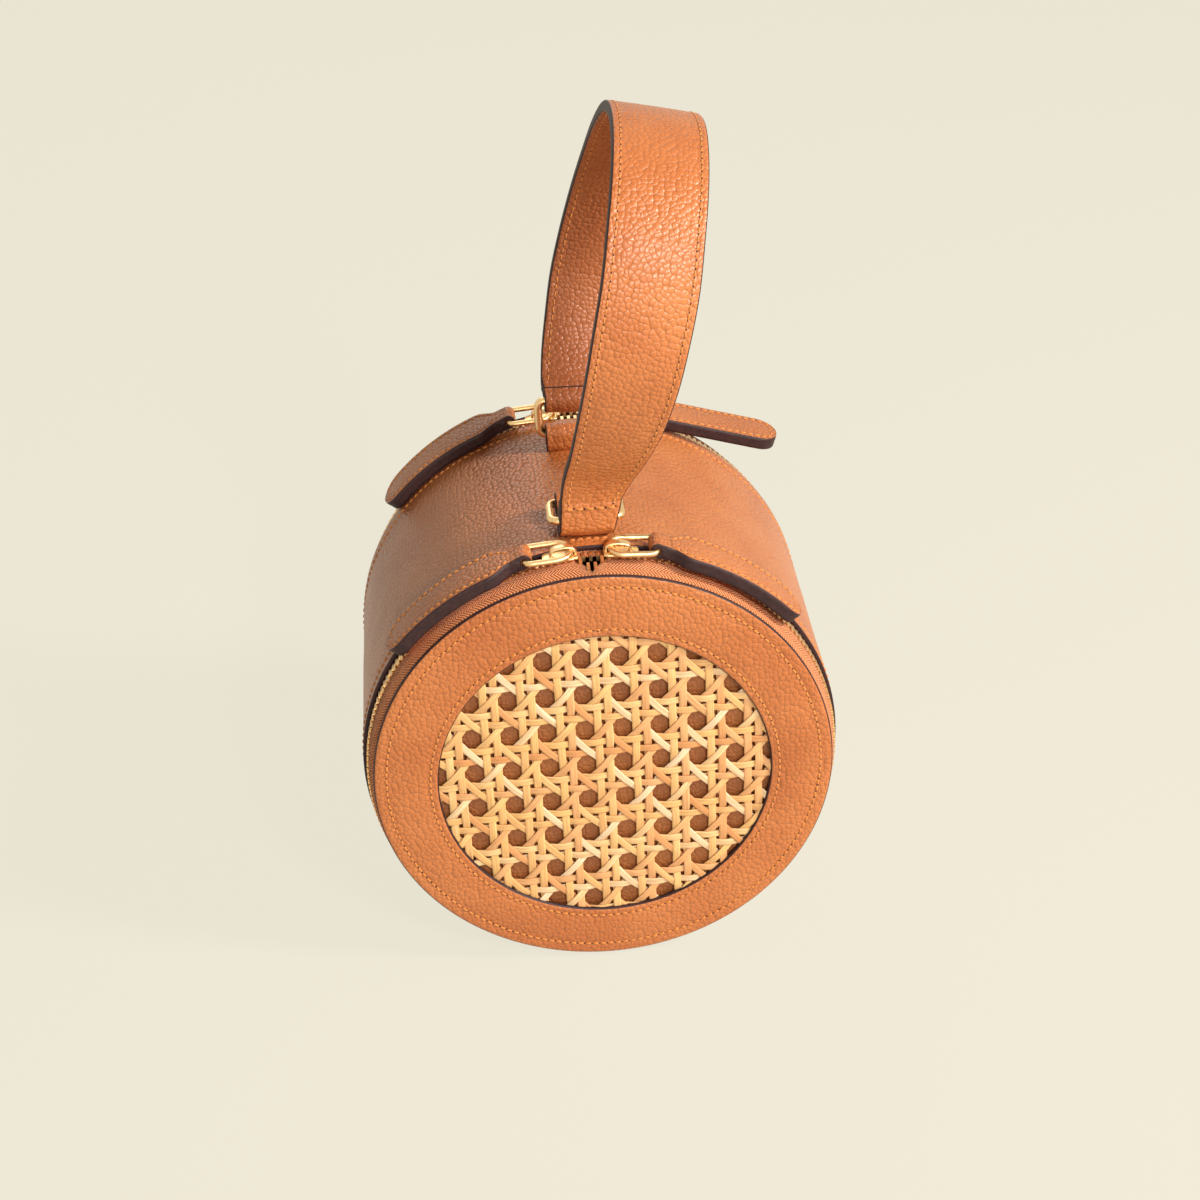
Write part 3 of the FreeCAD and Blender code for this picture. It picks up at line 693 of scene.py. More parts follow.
# closer steps at the mouth, where the two sliders meet
tape_angles = sorted(set(tape_angles + [k * 0.35 for k in range(-14, 15)]))


def lid_tape_line(angle):
    # from the seam under the lid's leather, round the edge, to the teeth; it dips at the mouth
    dip = mouth_drop * max(0.0, 1 - abs(angle) / mouth_half_angle)
    seam_y = -lid_face + lid_leather_back
    bend_y = seam_y + tape_bend
    low = lid_radius - 0.1 * MM
    line = [(seam_y, 68.5 * MM), (seam_y, 74 * MM), (seam_y, low - 0.8 * MM),
        (seam_y + 0.5 * MM, low)]
    top = -lid_face + lid_tape_edge - dip
    for k in range(1, 7):
        y = seam_y + 0.5 * MM + (top - seam_y - 0.5 * MM) * k / 6
        share = min(1.0, (y - seam_y) / (bend_y - seam_y))
        line.append((y, low + (tape_outer - low) * math.sin(share * math.pi / 2)))
    return line


def body_tape_line(angle):
    return [(-body_tape_edge + body_tape_width * k / 5, tape_outer) for k in range(6)]


def place_pair(piece, name, node, part="lid"):
    # the piece goes on the front and its mirror image on the back, on the lids or the drum
    piece.name = "front_" + name
    other = put_in("back_" + name, piece.data.copy())
    turn_to_back(other)
    for side, made in (("front", piece), ("back", other)):
        stand_for(made, side + "_" + node, "drum" if part == "drum" else side + "_lid")


# how far across its width each line of the lid's tape lies, in mm
lid_tape_across = [0, 5.5, 10.6, 11.5, 12.9, 14.3, 15.7, 17.1, 18.5, 19.9]
tape = tape_piece("lid_tape", lid_tape_line, tape_angles, lambda k: lid_tape_across[k] * MM)
place_pair(tape, "lid_zip_tape", "lid_tape")
tape = tape_piece("body_tape", body_tape_line, tape_angles, lambda k: k * 2.4 * MM)
place_pair(tape, "drum_zip_tape", "body_tape", part="drum")

# ---------------------------------------------------------------- Hinge panels
# The strip of the same leather that closes the zip's gap under the bag. It is sewn to the drum
# and to the lid; here it is fixed in place and does not move with the lid.
panel_edge_angle = 119.8
panel_start = 2.3
panel_length = 21.3
panel_bend = 5.6
panel_thickness = 1.2 * MM


def panel_section(angle):
    places = []
    for k in range(15):
        share = k / 14
        y = -lid_face + (panel_start + share * panel_length) * MM
        rise = min(1.0, share * panel_length / panel_bend)
        radius = flattened(lid_leather_back, angle)
        top = min(radius, lid_radius - 0.1 * MM + (tape_outer - lid_radius + 0.1 * MM) * rise)
        places.append((top, y))
    inner = [(r - panel_thickness, y) for r, y in reversed(places)]
    return [around(r, angle, y) for r, y in places + inner]


panel_angles = [panel_edge_angle + k * (360 - 2 * panel_edge_angle) / 80 for k in range(81)]
panel = sweep("hinge_panel", [panel_section(a) for a in panel_angles], [tan_leather, painted_edge],
    lambda i, j: 0, cap_slot=1)
panel.name = "front_hinge_leather"
back_panel = put_in("back_hinge_leather", panel.data.copy())
turn_to_back(back_panel)
for side, sign, piece in (("front", -1, panel), ("back", 1, back_panel)):
    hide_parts(side + "_hinge_panel")
    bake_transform(piece)

# ---------------------------------------------------------------- Lid rings
# A disc of the same leather with a round window cut in it, rounded and painted at both edges.
# Two rows of stitches lie in shallow grooves, one near the window and one near the rim.
opening_radius = 57.9 * MM
opening_shift = 0.3 * MM
opening_drop = 1.7 * MM
lid_groove = 0.22 * MM
outer_row_inset = 4.4 * MM
inner_row_inset = 3.0 * MM


def opening_point(radius, angle, y):
    centre = Vector((opening_shift, y, axis_height - opening_drop))
    turn = math.radians(angle)
    return centre + Vector((radius * math.sin(turn), 0, radius * math.cos(turn)))


def lid_ring_section(angle):
    # from the window's edge across the face to the rim, then back along the underside
    inner, outer = opening_point(opening_radius, angle, 0), around(lid_radius, angle, 0)
    width = (outer - inner).length
    face = [(0.0, 1.1), (0.12, 0.55), (0.5, 0.16), (1.1, 0.0), (2.4, 0.05), (3.0, 0.24),
        (3.6, 0.05), (6.0, -0.1)]
    steps = [(mm * MM / width, depth) for mm, depth in face]
    steps += [(0.45, -0.15), (0.6, -0.12)]
    back = [(5.6, -0.06), (4.9, 0.06), (4.4, 0.24), (3.8, 0.06), (2.0, 0.0), (1.0, 0.06),
        (0.45, 0.22), (0.1, 0.55), (0.0, 0.9)]
    steps += [(1 - mm * MM / width, depth) for mm, depth in back]
    steps += [(1 - 0.1 * MM / width, 1.5), (1 - 0.5 * MM / width, 1.8), (0.5, 1.8),
        (0.4 * MM / width, 1.8), (0.05 * MM / width, 1.5)]
    made = []
    for share, depth in steps:
        spot = Vector((angle / 11, share * 3, 9.0))
        wave = 0.12 * MM * noise.noise(spot) if 0.2 < share < 0.8 else 0
        point = inner.lerp(outer, share)
        point.y = -lid_face + depth * MM + wave
        made.append(point)
    return made


sections = [lid_ring_section(k * 1.5) for k in range(240)]
ring = sweep("lid_ring", sections, [tan_leather, painted_edge],
    lambda i, j: 1 if 16 <= j <= 19 or j < 2 or j > 21 else 0, closed=True,
    uvs=[(p.x, p.z) for section in sections for p in section])
place_pair(ring, "lid_leather", "lid_ring")
for side, sign in sides:
    out = Vector((0, sign, 0))
    outer_row, inner_row = [], []
    for k in range(0, 361, 2):
        y = sign * (lid_face - lid_groove)
        outer_row.append((around(lid_radius - outer_row_inset, k, y), out))
        inner_row.append((opening_point(opening_radius + inner_row_inset, k, y), out))
    sew(side + "_lid_stitches", side + "_lid", [outer_row, inner_row])

# ---------------------------------------------------------------- Cane webbing
# Split rattan peel, woven by hand or loom in the old chair-seat pattern: pairs of strands up
# and across, and one strand each way on the slant, which leave eight-sided holes.
cane_pitch_x = 12.94 * MM
cane_pitch_z = 14.6 * MM
strand_width = 2.6 * MM
strand_thickness = 0.5 * MM
upright_half_gap = 1.9 * MM
level_half_gap = 2.1 * MM
level_wave = 0.52 * MM
slant_wave = 0.62 * MM
slant_width = 2.4 * MM
cane_reach = 61.0 * MM
cane_middle = 59.9 * MM


def rattan_peel(name):
    # Peeled rattan: straw-coloured and waxy on its skin side, with long fibres, and each strand
    # its own shade from cream to honey.
    material, tree, shader = new_material(name)
    shade = add(tree, "ShaderNodeAttribute", attribute_name="strand_shade").outputs["Fac"]
    run = add(tree, "ShaderNodeAttribute", attribute_name="strand_run").outputs["Vector"]
    fibres = add(tree, "ShaderNodeTexNoise", {"Vector": run, "Scale": 1.0, "Detail": 5.0,
        "Roughness": 0.65})
    ramp = add(tree, "ShaderNodeValToRGB", {"Fac": shade})
    stops = ramp.color_ramp.elements
    stops[0].color = linear("#E3A268")
    stops[1].color = linear("#FFE9C6")
    for at, colour in ((0.2, "#F0BC84"), (0.5, "#F4C680"), (0.8, "#FAD89E")):
        stops.new(at).color = linear(colour)
    streak = add(tree, "ShaderNodeMapRange", {"Value": fibres, "From Min": 0.35, "From Max": 0.75,
        "To Max": 0.75})
    tint = add(tree, "ShaderNodeMix", {"Factor": streak, "A": ramp, "B": linear("#C07C40")},
        data_type="RGBA")
    bump = add(tree, "ShaderNodeBump", {"Height": fibres, "Distance": 0.10 * MM, "Strength": 0.6})
    give(tree, shader, {"Base Color": tint.outputs[2], "Normal": bump, "Roughness": 0.42})
    return material


cane = rattan_peel("peeled_rattan")


def cane_lay_tree():
    # one lay of parallel strands, each rising and dipping as it crosses the others
    tree = bpy.data.node_groups.new("cane_lay", "GeometryNodeTree")
    name_inputs(tree, {"Strands": "Int", "Spacing": "Float", "Shift": "Float", "Turn": "Float",
        "Reach": "Float", "Wave Across": "Float", "Wave Up": "Float", "Wave Phase": "Float",
        "Wave Height": "Float", "Strand Width": "Float", "Strand Thickness": "Float",
        "Wander": "Float", "Seed": "Int", "Peel": "Material"})
    given = add(tree, "NodeGroupInput").outputs

    last = add(tree, "ShaderNodeMath", (given["Strands"], 1.0), operation="SUBTRACT")
    first = add(tree, "ShaderNodeMath", (last, -0.5), operation="MULTIPLY")
    first = add(tree, "ShaderNodeMath", (first, given["Spacing"], given["Shift"]),
        operation="MULTIPLY_ADD")
    row = add(tree, "GeometryNodeMeshLine", {"Count": given["Strands"],
        "Start Location": add(tree, "ShaderNodeCombineXYZ", {0: first}),
        "Offset": add(tree, "ShaderNodeCombineXYZ", {0: given["Spacing"]})})
    number = add(tree, "GeometryNodeInputIndex")
    kept = add(tree, "GeometryNodeStoreNamedAttribute", {0: row, "Name": "strand", "Value": number},
        data_type="FLOAT", domain="POINT")
    below = add(tree, "ShaderNodeMath", (given["Reach"], -1.0), operation="MULTIPLY")
    line = add(tree, "GeometryNodeCurvePrimitiveLine", {"Start": add(tree, "ShaderNodeCombineXYZ",
        {1: below}), "End": add(tree, "ShaderNodeCombineXYZ", {1: given["Reach"]})})
    line = add(tree, "GeometryNodeResampleCurve", {"Curve": line, "Count": 110}, mode="COUNT")
    laid = add(tree, "GeometryNodeInstanceOnPoints", {"Points": kept, "Instance": line})
    laid = add(tree, "GeometryNodeRealizeInstances", {0: laid})
    turn = add(tree, "ShaderNodeCombineXYZ", {2: given["Turn"]})
    laid = add(tree, "GeometryNodeTransform", {"Geometry": laid, "Rotation": turn})
    xyz = add(tree, "ShaderNodeSeparateXYZ", (add(tree, "GeometryNodeInputPosition"),)).outputs
    strand = add(tree, "GeometryNodeInputNamedAttribute", {"Name": "strand"},
        data_type="FLOAT").outputs[0]
    wave = add(tree, "ShaderNodeMath", (xyz[0], given["Wave Across"]), operation="MULTIPLY")
    wave = add(tree, "ShaderNodeMath", (xyz[1], given["Wave Up"], wave), operation="MULTIPLY_ADD")
    wave = add(tree, "ShaderNodeMath", (wave, 2 * math.pi, given["Wave Phase"]),
        operation="MULTIPLY_ADD")
    lift = add(tree, "ShaderNodeMath", (add(tree, "ShaderNodeMath", (wave,), operation="SINE"),
        given["Wave Height"]), operation="MULTIPLY")
    far = add(tree, "ShaderNodeMath", (strand, 3.7, given["Seed"]), operation="MULTIPLY_ADD")
    spot = add(tree, "ShaderNodeCombineXYZ", {0: far, 1: xyz[0], 2: xyz[1]})
    spot = add(tree, "ShaderNodeVectorMath", (spot, (1.0, 45.0, 45.0)), operation="MULTIPLY")
    stray = add(tree, "ShaderNodeTexNoise", {"Vector": spot, "Scale": 1.0, "Detail": 1.0},
        noise_dimensions="3D")
    stray = add(tree, "ShaderNodeVectorMath", {0: stray.outputs["Color"], 1: (0.5, 0.5, 0.5)},
        operation="SUBTRACT")
    stray = add(tree, "ShaderNodeVectorMath", {0: stray, "Scale": given["Wander"]},
        operation="SCALE")
    flat = add(tree, "ShaderNodeVectorMath", (stray, (1.0, 1.0, 0.15)), operation="MULTIPLY")
    move = add(tree, "ShaderNodeVectorMath", {0: flat, 1: add(tree, "ShaderNodeCombineXYZ",
        {2: lift})})
    woven = add(tree, "GeometryNodeSetPosition", {"Geometry": laid, "Offset": move})
    away = add(tree, "ShaderNodeVectorMath", {0: add(tree, "ShaderNodeCombineXYZ",
        {0: xyz[0], 1: xyz[1]}).outputs[0]}, operation="LENGTH")
    beyond = add(tree, "FunctionNodeCompare", {"A": away.outputs["Value"], "B": given["Reach"]},
        data_type="FLOAT", operation="GREATER_THAN")
    woven = add(tree, "GeometryNodeDeleteGeometry", {0: woven, "Selection": beyond}, domain="POINT")
    woven = add(tree, "GeometryNodeSetCurveNormal", {0: woven}, mode="Z_UP")
    run = add(tree, "GeometryNodeSplineParameter").outputs["Length"]
    woven = add(tree, "GeometryNodeStoreNamedAttribute", {0: woven, "Name": "strand_length",
        "Value": run}, data_type="FLOAT", domain="POINT")
    half_wide = add(tree, "ShaderNodeMath", (given["Strand Width"], 0.5), operation="MULTIPLY")
    profile = add(tree, "GeometryNodeCurvePrimitiveQuadrilateral",
        {"Width": given["Strand Width"], "Height": given["Strand Thickness"]})
    profile = add(tree, "GeometryNodeResampleCurve", {"Curve": profile, "Count": 14}, mode="COUNT")
    flat_side = add(tree, "ShaderNodeSeparateXYZ", (add(tree,
        "GeometryNodeInputPosition"),)).outputs
    far_out = add(tree, "ShaderNodeMath", (flat_side[0], half_wide), operation="DIVIDE")
    drop = add(tree, "ShaderNodeMath", (1.0, add(tree, "ShaderNodeMath",
        (add(tree, "ShaderNodeMath", (far_out,), operation="ABSOLUTE"), 4.0), operation="POWER")),
        operation="SUBTRACT")
    crown = add(tree, "ShaderNodeMath", (add(tree, "ShaderNodeMath",
        (add(tree, "ShaderNodeMath", (drop, 0.0), operation="MAXIMUM"),), operation="SQRT"), 0.65,
        0.35), operation="MULTIPLY_ADD")
    size = add(tree, "ShaderNodeCombineXYZ", {0: flat_side[0],
        1: add(tree, "ShaderNodeMath", (flat_side[1], crown), operation="MULTIPLY")})
    profile = add(tree, "GeometryNodeSetPosition", {"Geometry": profile, "Position": size})
    side_x = add(tree, "ShaderNodeSeparateXYZ", (add(tree, "GeometryNodeInputPosition"),))
    profile = add(tree, "GeometryNodeStoreNamedAttribute",
        {0: profile, "Name": "strand_side", "Value": side_x}, data_type="FLOAT", domain="POINT")
    made = add(tree, "GeometryNodeCurveToMesh", {"Curve": woven, "Profile Curve": profile,
        "Fill Caps": True})
    named = {}
    for name in ("strand", "strand_length", "strand_side"):
        named[name] = add(tree, "GeometryNodeInputNamedAttribute", {"Name": name},
            data_type="FLOAT").outputs[0]
    pick = add(tree, "ShaderNodeMath", (named["strand"], 12.9898, given["Seed"]),
        operation="MULTIPLY_ADD")
    pick = add(tree, "ShaderNodeMath", (add(tree, "ShaderNodeMath",
        (add(tree, "ShaderNodeMath", (pick,), operation="SINE"), 43758.5), operation="MULTIPLY"),),
        operation="FRACT")
    shaded = add(tree, "GeometryNodeStoreNamedAttribute",
        {0: made, "Name": "strand_shade", "Value": pick}, data_type="FLOAT", domain="POINT")
    vector = add(tree, "ShaderNodeCombineXYZ", {0: add(tree, "ShaderNodeMath",
        (named["strand_length"], 60.0), operation="MULTIPLY"),
        1: add(tree, "ShaderNodeMath", (named["strand_side"], 2600.0), operation="MULTIPLY"),
        2: add(tree, "ShaderNodeMath", (pick, 40.0), operation="MULTIPLY")})
    shaded = add(tree, "GeometryNodeStoreNamedAttribute",
        {0: shaded, "Name": "strand_run", "Value": vector}, data_type="FLOAT_VECTOR",
        domain="POINT")
    real = add(tree, "GeometryNodeRealizeInstances", {0: shaded})
    done = add(tree, "GeometryNodeSetMaterial", {0: real, "Material": given["Peel"]})
    add(tree, "NodeGroupOutput", {0: done})
    return tree


cane_lay = cane_lay_tree()
hole_x = -6.3 * MM
hole_z = 5.1 * MM
slant = math.atan2(cane_pitch_x, cane_pitch_z)
slant_spacing = cane_pitch_x * math.cos(slant)
phase_x = -2 * math.pi * hole_x / cane_pitch_x
phase_z = -2 * math.pi * hole_z / cane_pitch_z
lays = []
for sign in (1, -1):
    lays.append({"Strands": 12, "Spacing": cane_pitch_x, "Turn": 0.0,
                 "Shift": hole_x + sign * upright_half_gap, "Wave Up": 1 / cane_pitch_z,
                 "Wave Phase": phase_z + math.pi, "Wave Height": sign * level_wave})
    lays.append({"Strands": 12, "Spacing": cane_pitch_z, "Turn": -math.pi / 2,
                 "Shift": -hole_z - sign * level_half_gap, "Wave Across": 1 / cane_pitch_x,
                 "Wave Phase": phase_x + math.pi, "Wave Height": -sign * level_wave})
for sign in (1, -1):
    # the slanting strands pass halfway between the holes, over one pair and under the other
    middle = (hole_x + cane_pitch_x / 2) * math.cos(slant) - sign * hole_z * math.sin(slant)
    lays.append({"Strands": 15, "Spacing": slant_spacing, "Turn": -sign * slant,
                 "Shift": middle, "Wave Across": 1 / cane_pitch_x,
                 "Wave Phase": phase_x - math.pi / 2, "Wave Height": sign * slant_wave,
                 "Strand Width": slant_width, "Wander": 1.5 * MM})


def weave(name):
    # every lay of one panel, joined to one mesh that faces the viewer along -Y
    whole = bmesh.new()
    for k, lay in enumerate(lays):
        values = {"Reach": cane_reach, "Strand Width": strand_width, "Seed": 11 + 7 * k,
            "Strand Thickness": strand_thickness, "Wander": 1.0 * MM, "Peel": cane}
        values.update(lay)
        made = grow(name + "_lay", cane_lay, values)
        whole.from_mesh(made.data)
        bpy.data.objects.remove(made)
    mesh = bpy.data.meshes.new(name)
    whole.to_mesh(mesh)
    whole.free()
    mesh.materials.append(cane)
    mesh.polygons.foreach_set("use_smooth", [True] * len(mesh.polygons))
    # stood up in the ring, a little askew
    place = Matrix.Translation((opening_shift, -cane_middle, axis_height - opening_drop))
    askew = place @ Matrix.Rotation(math.radians(0.4), 4, "Y")
    mesh.transform(askew @ Matrix.Rotation(math.pi / 2, 4, "X"))
    piece = put_in(name, mesh)
    fix_normals(piece)
    mesh.polygons.foreach_set("use_smooth", [False] * len(mesh.polygons))
    return piece


place_pair(weave("front_cane_webbing"), "cane_webbing", "cane_panel")

# ---------------------------------------------------------------- Leather behind the cane
# A round of the same hide, a shade browner, laid behind the cane so that no board shows. The
# lid's own lining, a round of the cotton cloth, is cut the same way.
backing_radius = 65.9 * MM
backing_y = 58.2 * MM
backing_thickness = 0.8 * MM
lid_cloth_radius = 77.6 * MM
lid_cloth_y = 56.3 * MM
brown_leather = pebbled_leather("brown_pebbled_cowhide", "#A5622F", "#8F5128", "#5E3015",
    pebble_mm=1.6, dome_mm=0.12, gloss=0.48)


def round_sheet(name, centre, radius, y, thickness, material, rings, steps, swell):
    # a thin round with rings of faces on both sides; swell(x, z) is how far it comes forward
    points, faces = [], []
    for depth in (0, thickness):
        points.append(Vector((centre[0], y + depth - swell(*centre), centre[1])))
        for ring_no in range(1, rings + 1):
            r = radius * ring_no / rings
            for k in range(steps):
                turn = 2 * math.pi * k / steps
                x, z = centre[0] + r * math.sin(turn), centre[1] + r * math.cos(turn)
                ahead = swell(x, z) if ring_no < rings else 0.0
                points.append(Vector((x, y + depth - ahead, z)))
    block = 1 + rings * steps
    for side_no in (0, 1):
        base = side_no * block
        for k in range(steps):
            n = (k + 1) % steps
            faces.append((base, base + 1 + k, base + 1 + n))
            for ring_no in range(rings - 1):
                a = base + 1 + ring_no * steps
                faces.append((a + k, a + steps + k, a + steps + n, a + n))
    edge = 1 + (rings - 1) * steps
    for k in range(steps):
        n = (k + 1) % steps
        faces.append((edge + k, block + edge + k, block + edge + n, edge + n))
    corners = [(points[k].x, points[k].z) for face in faces for k in face]
    piece = make_piece(name, points, faces, [material], uvs=corners)
    fix_normals(piece)
    return piece


def leather_swell(x, z):
    # the padded leather comes a little way up into each of the cane's holes
    across = math.cos(math.pi * (x - opening_shift - hole_x) / cane_pitch_x)
    up = math.cos(math.pi * (z - axis_height + opening_drop - hole_z) / cane_pitch_z)
    return 0.75 * MM * (across * up) ** 2 + 0.12 * MM * noise.noise(Vector((x * 90, z * 90, 2.0)))


def cloth_slack(x, z):
    return 0.1 * MM * noise.noise(Vector((x * 90, z * 90, 5.0)))


backing = round_sheet("backing", (opening_shift, axis_height - opening_drop), backing_radius,
    -backing_y, backing_thickness, brown_leather, rings=44, steps=216, swell=leather_swell)
place_pair(backing, "leather_behind_cane", "lid_backing")
cloth = round_sheet("lid_cloth", (0, axis_height), lid_cloth_radius, -lid_cloth_y, lining_thickness,
    lining_cloth, rings=16, steps=96, swell=cloth_slack)
place_pair(cloth, "lid_lining_cloth", "lid_lining")

# ---------------------------------------------------------------- Pull tabs
# Two long tongues of leather sewn back to back with a thick painted edge, the narrow end folded
# round the slider's ring and sewn down.
tab_start_angle = 17.7
tab_width = 17.0 * MM
tab_thickness = 4.8 * MM
tab_middle = 86.35 * MM
tab_end_round = 7.4 * MM
tab_length = 52.6 * MM
tab_neck_half = 4.7 * MM
tab_taper = 7.5 * MM
tab_neck_reach = 4.4 * MM
tab_row_inset = 2.1 * MM
straight_tab_droop = 17.5
fold_groove = 2.6 * MM
fold_steps = 64


def strip_section(station, groove):
    # a padded leather strip's cross-section: crowned faces, a groove along each row of stitches
    # and painted edges that show two layers. A station is (centre, across, out, half, thick).
    centre, across, out, half, thick = station
    t = thick / 2
    edge = min(0.5 * MM, half * 0.2)
    row = [half - edge, half - groove + 0.8 * MM, half - groove, half - groove - 0.9 * MM]
    if half < groove + 1.4 * MM:
        row = [half - edge * k for k in (1, 1.6, 2.2, 2.8)]
    row.append(row[-1] * 0.5)
    top = [(x, t - d * MM) for x, d in zip(row, (0.10, 0.0, 0.20, 0.0, -0.10))]
    top = top + [(0.0, t + 0.12 * MM)] + [(-x, h) for x, h in reversed(top)]
    side = [(half - 0.14 * MM, t * 0.80), (half + 0.02 * MM, t * 0.42), (half - 0.20 * MM, 0.0),
        (half + 0.02 * MM, -t * 0.42), (half - 0.14 * MM, -t * 0.80)]
    under = [(-x, -h) for x, h in top]
    outline = top + [(-x, h) for x, h in side] + under + [(x, h) for x, h in reversed(side)]
    return [centre + across * x + out * h for x, h in outline]


def strip_slots(i, j):
    # the faces of the two edges are painted
    return 1 if 10 <= j <= 15 or j >= 26 else 0


def rounded_half(s_from_end, half, radius):
    # the half width near a rounded end
    if s_from_end >= radius:
        return half
    return half - radius + math.sqrt(max(0.0, radius ** 2 - (radius - s_from_end) ** 2))


def wrapped_end(name, bar, toward, across, hole, wrap, reach, half_body, half_width, spread,
        materials=(tan_leather, painted_edge), slot_of=strip_slots):
    # the end of a strip wrapped round a bar and sewn to itself: a teardrop that tapers into the
    # strip at this reach from the bar
    outer = hole + wrap
    toward, across = toward.normalized(), across.normalized()
    out = across.cross(toward)
    nose = math.atan2(half_body, reach)
    touch = nose + math.acos(outer / math.hypot(reach, half_body))
    sections = []
    for k in range(fold_steps):
        a = math.pi * (2 * (k + 0.5) / fold_steps - 1)
        if abs(a) < nose:
            far = reach / math.cos(a)
        elif abs(a) < touch:
            far = outer / math.cos(touch - abs(a))
        else:
            far = outer
        way = toward * math.cos(a) + out * math.sin(a)
        half = half_width + spread * max(0.0, far * math.cos(a) / reach)
        station = (bar + way * (hole + far) / 2, across, way, half, far - hole)
        sections.append(strip_section(station, fold_groove))
    return sweep(name, sections, materials, slot_of, closed=True)


def tab_stations(curved, hand):
    # (centre, across, out, half width, thickness) from the shoulder to the round end
    stations = []
    pivot = Vector((hand * pull_bar_far[0], -zip_y, pull_bar_far[1]))
    # closer together at the shoulder and towards the round end
    samples = [k / 6 * 0.07 for k in range(7)] + [0.07 + k / 20 * 0.78 for k in range(1, 21)]
    samples += [0.85 + 0.15 * math.sin(k / 14 * math.pi / 2) for k in range(1, 15)]
    for share in samples:
        run = share * tab_length
        taper = min(1.0, run / tab_taper)
        neck = tab_neck_half + (tab_width / 2 - tab_neck_half) * taper ** 2 * (3 - 2 * taper)
        half = min(neck, rounded_half(tab_length - run, tab_width / 2, tab_end_round))
        across = Vector((0, 1, 0))
        if curved:
            angle = tab_start_angle + math.degrees(run / tab_middle)
            centre = around(tab_middle, hand * angle, -zip_y)
            out = (around(1, hand * angle, 0) - around(0, hand * angle, 0)).normalized()
        else:
            lean = math.radians(straight_tab_droop)
            along = Vector((hand * math.cos(lean), 0, -math.sin(lean)))
            centre = pivot + along * (tab_neck_reach + run)
            out = Vector((hand * math.sin(lean), 0, math.cos(lean)))
        stations.append((centre, across, out, max(half, 1.0 * MM), tab_thickness))
    return stations


def laid_on(piece, rows):
    # the same rows of (point, outward direction), moved onto the leather's surface
    skin = BVHTree.FromPolygons([v.co for v in piece.data.vertices],
        [f.vertices[:] for f in piece.data.polygons])
    laid = []
    for row in rows:
        found = [(skin.ray_cast(point + out * 6 * MM, -out)[0], out) for point, out in row]
        laid.append([(point, out) for point, out in found if point])
    return laid


def pull_tab(name, curved, hand):
    stations = tab_stations(curved, hand)
    centre, across, out, half, thick = stations[0]
    pivot = Vector((hand * pull_bar_far[0], -zip_y, pull_bar_far[1]))
    parts = [sweep(name, [strip_section(s, tab_row_inset) for s in stations],
        [tan_leather, painted_edge], strip_slots, cap_slot=1),
        wrapped_end(name, pivot, centre - pivot, across, hole=1.0 * MM, wrap=1.7 * MM,
            reach=5.6 * MM, half_body=2.3 * MM, half_width=4.2 * MM, spread=0.5 * MM)]
    rows = []
    for face in (1, -1):
        row = []
        for side in (1, -1):
            part = []
            for centre, across, out, half, thick in stations:
                gone = (stations[-1][0] - centre).length
                if half < 5.2 * MM or gone < 1.9 * MM:
                    continue
                point = (centre + across * side * (half - tab_row_inset) + out * face
                    * (thick / 2 - 0.24 * MM))
                part.append((point, out * face))
            row += part if side > 0 else part[::-1]
        rows.append(row)
    return parts, rows


for side in ("front", "back"):
    for hand_name, hand in hands:
        body = side + "_" + hand_name + "_pull_tab"
        curved = body != "back_right_pull_tab"
        parts, rows = pull_tab(body + "_leather", curved, hand)
        tab = join(body + "_leather", parts)
        rows = laid_on(tab, rows)
        if side == "back":
            turn_to_back(tab)
            rows = [[(front_to_back @ p, front_to_back @ d) for p, d in row] for row in rows]
        stand_for(tab, body, body)
        sew(body + "_stitches", body, rows)

# ---------------------------------------------------------------- Handle loops
# Strips of leather folded over the handle's rings. Their legs go down through slits in the
# drum's wall and are sewn fast inside it.
loop_half_width = 9.7 * MM
loop_thickness = 1.75 * MM
loop_groove = 2.0 * MM


def loop_stations(sign):
    # up out of the slit, round the ring's bar and down again
    line = [(-2.75, -5.6), (-2.8, -3.6), (-2.85, -1.6)]
    line += [(-2.78 * math.cos(a), 2.78 * math.sin(a))
        for a in (math.pi * k / 14 for k in range(15))]
    line += [(2.85, -1.6), (2.8, -3.6), (2.75, -5.6)]
    centres = [Vector((0, sign * loop_y + y * MM, loop_z + z * MM)) for y, z in line]
    across = Vector((1, 0, 0))
    stations = []
    for k, centre in enumerate(centres):
        ahead = (centres[min(k + 1, len(centres) - 1)] - centres[max(k - 1, 0)]).normalized()
        stations.append((centre, across, ahead.cross(across).normalized(), loop_half_width,
            loop_thickness))
    return stations


for side, sign in sides:
    sections = [strip_section(s, loop_groove) for s in loop_stations(sign)]
    loop = sweep(side + "_loop_leather", sections, [tan_leather, painted_edge], strip_slots,
        cap_slot=1)
    stand_for(loop, side + "_handle_loop", "drum")

# ---------------------------------------------------------------- Handle strap
# Two leathers sewn back to back, wide in the middle and narrow where each end is folded round a
# ring and sewn down. It stands up by itself and leans to the right.
strap_rise = 125.7 * MM
strap_lean = 31.4 * MM
strap_width = 31.2 * MM
strap_turn = 13.0
strap_thickness = 3.9 * MM
strap_row_inset = 2.6 * MM
fold_half_width = 9.3 * MM
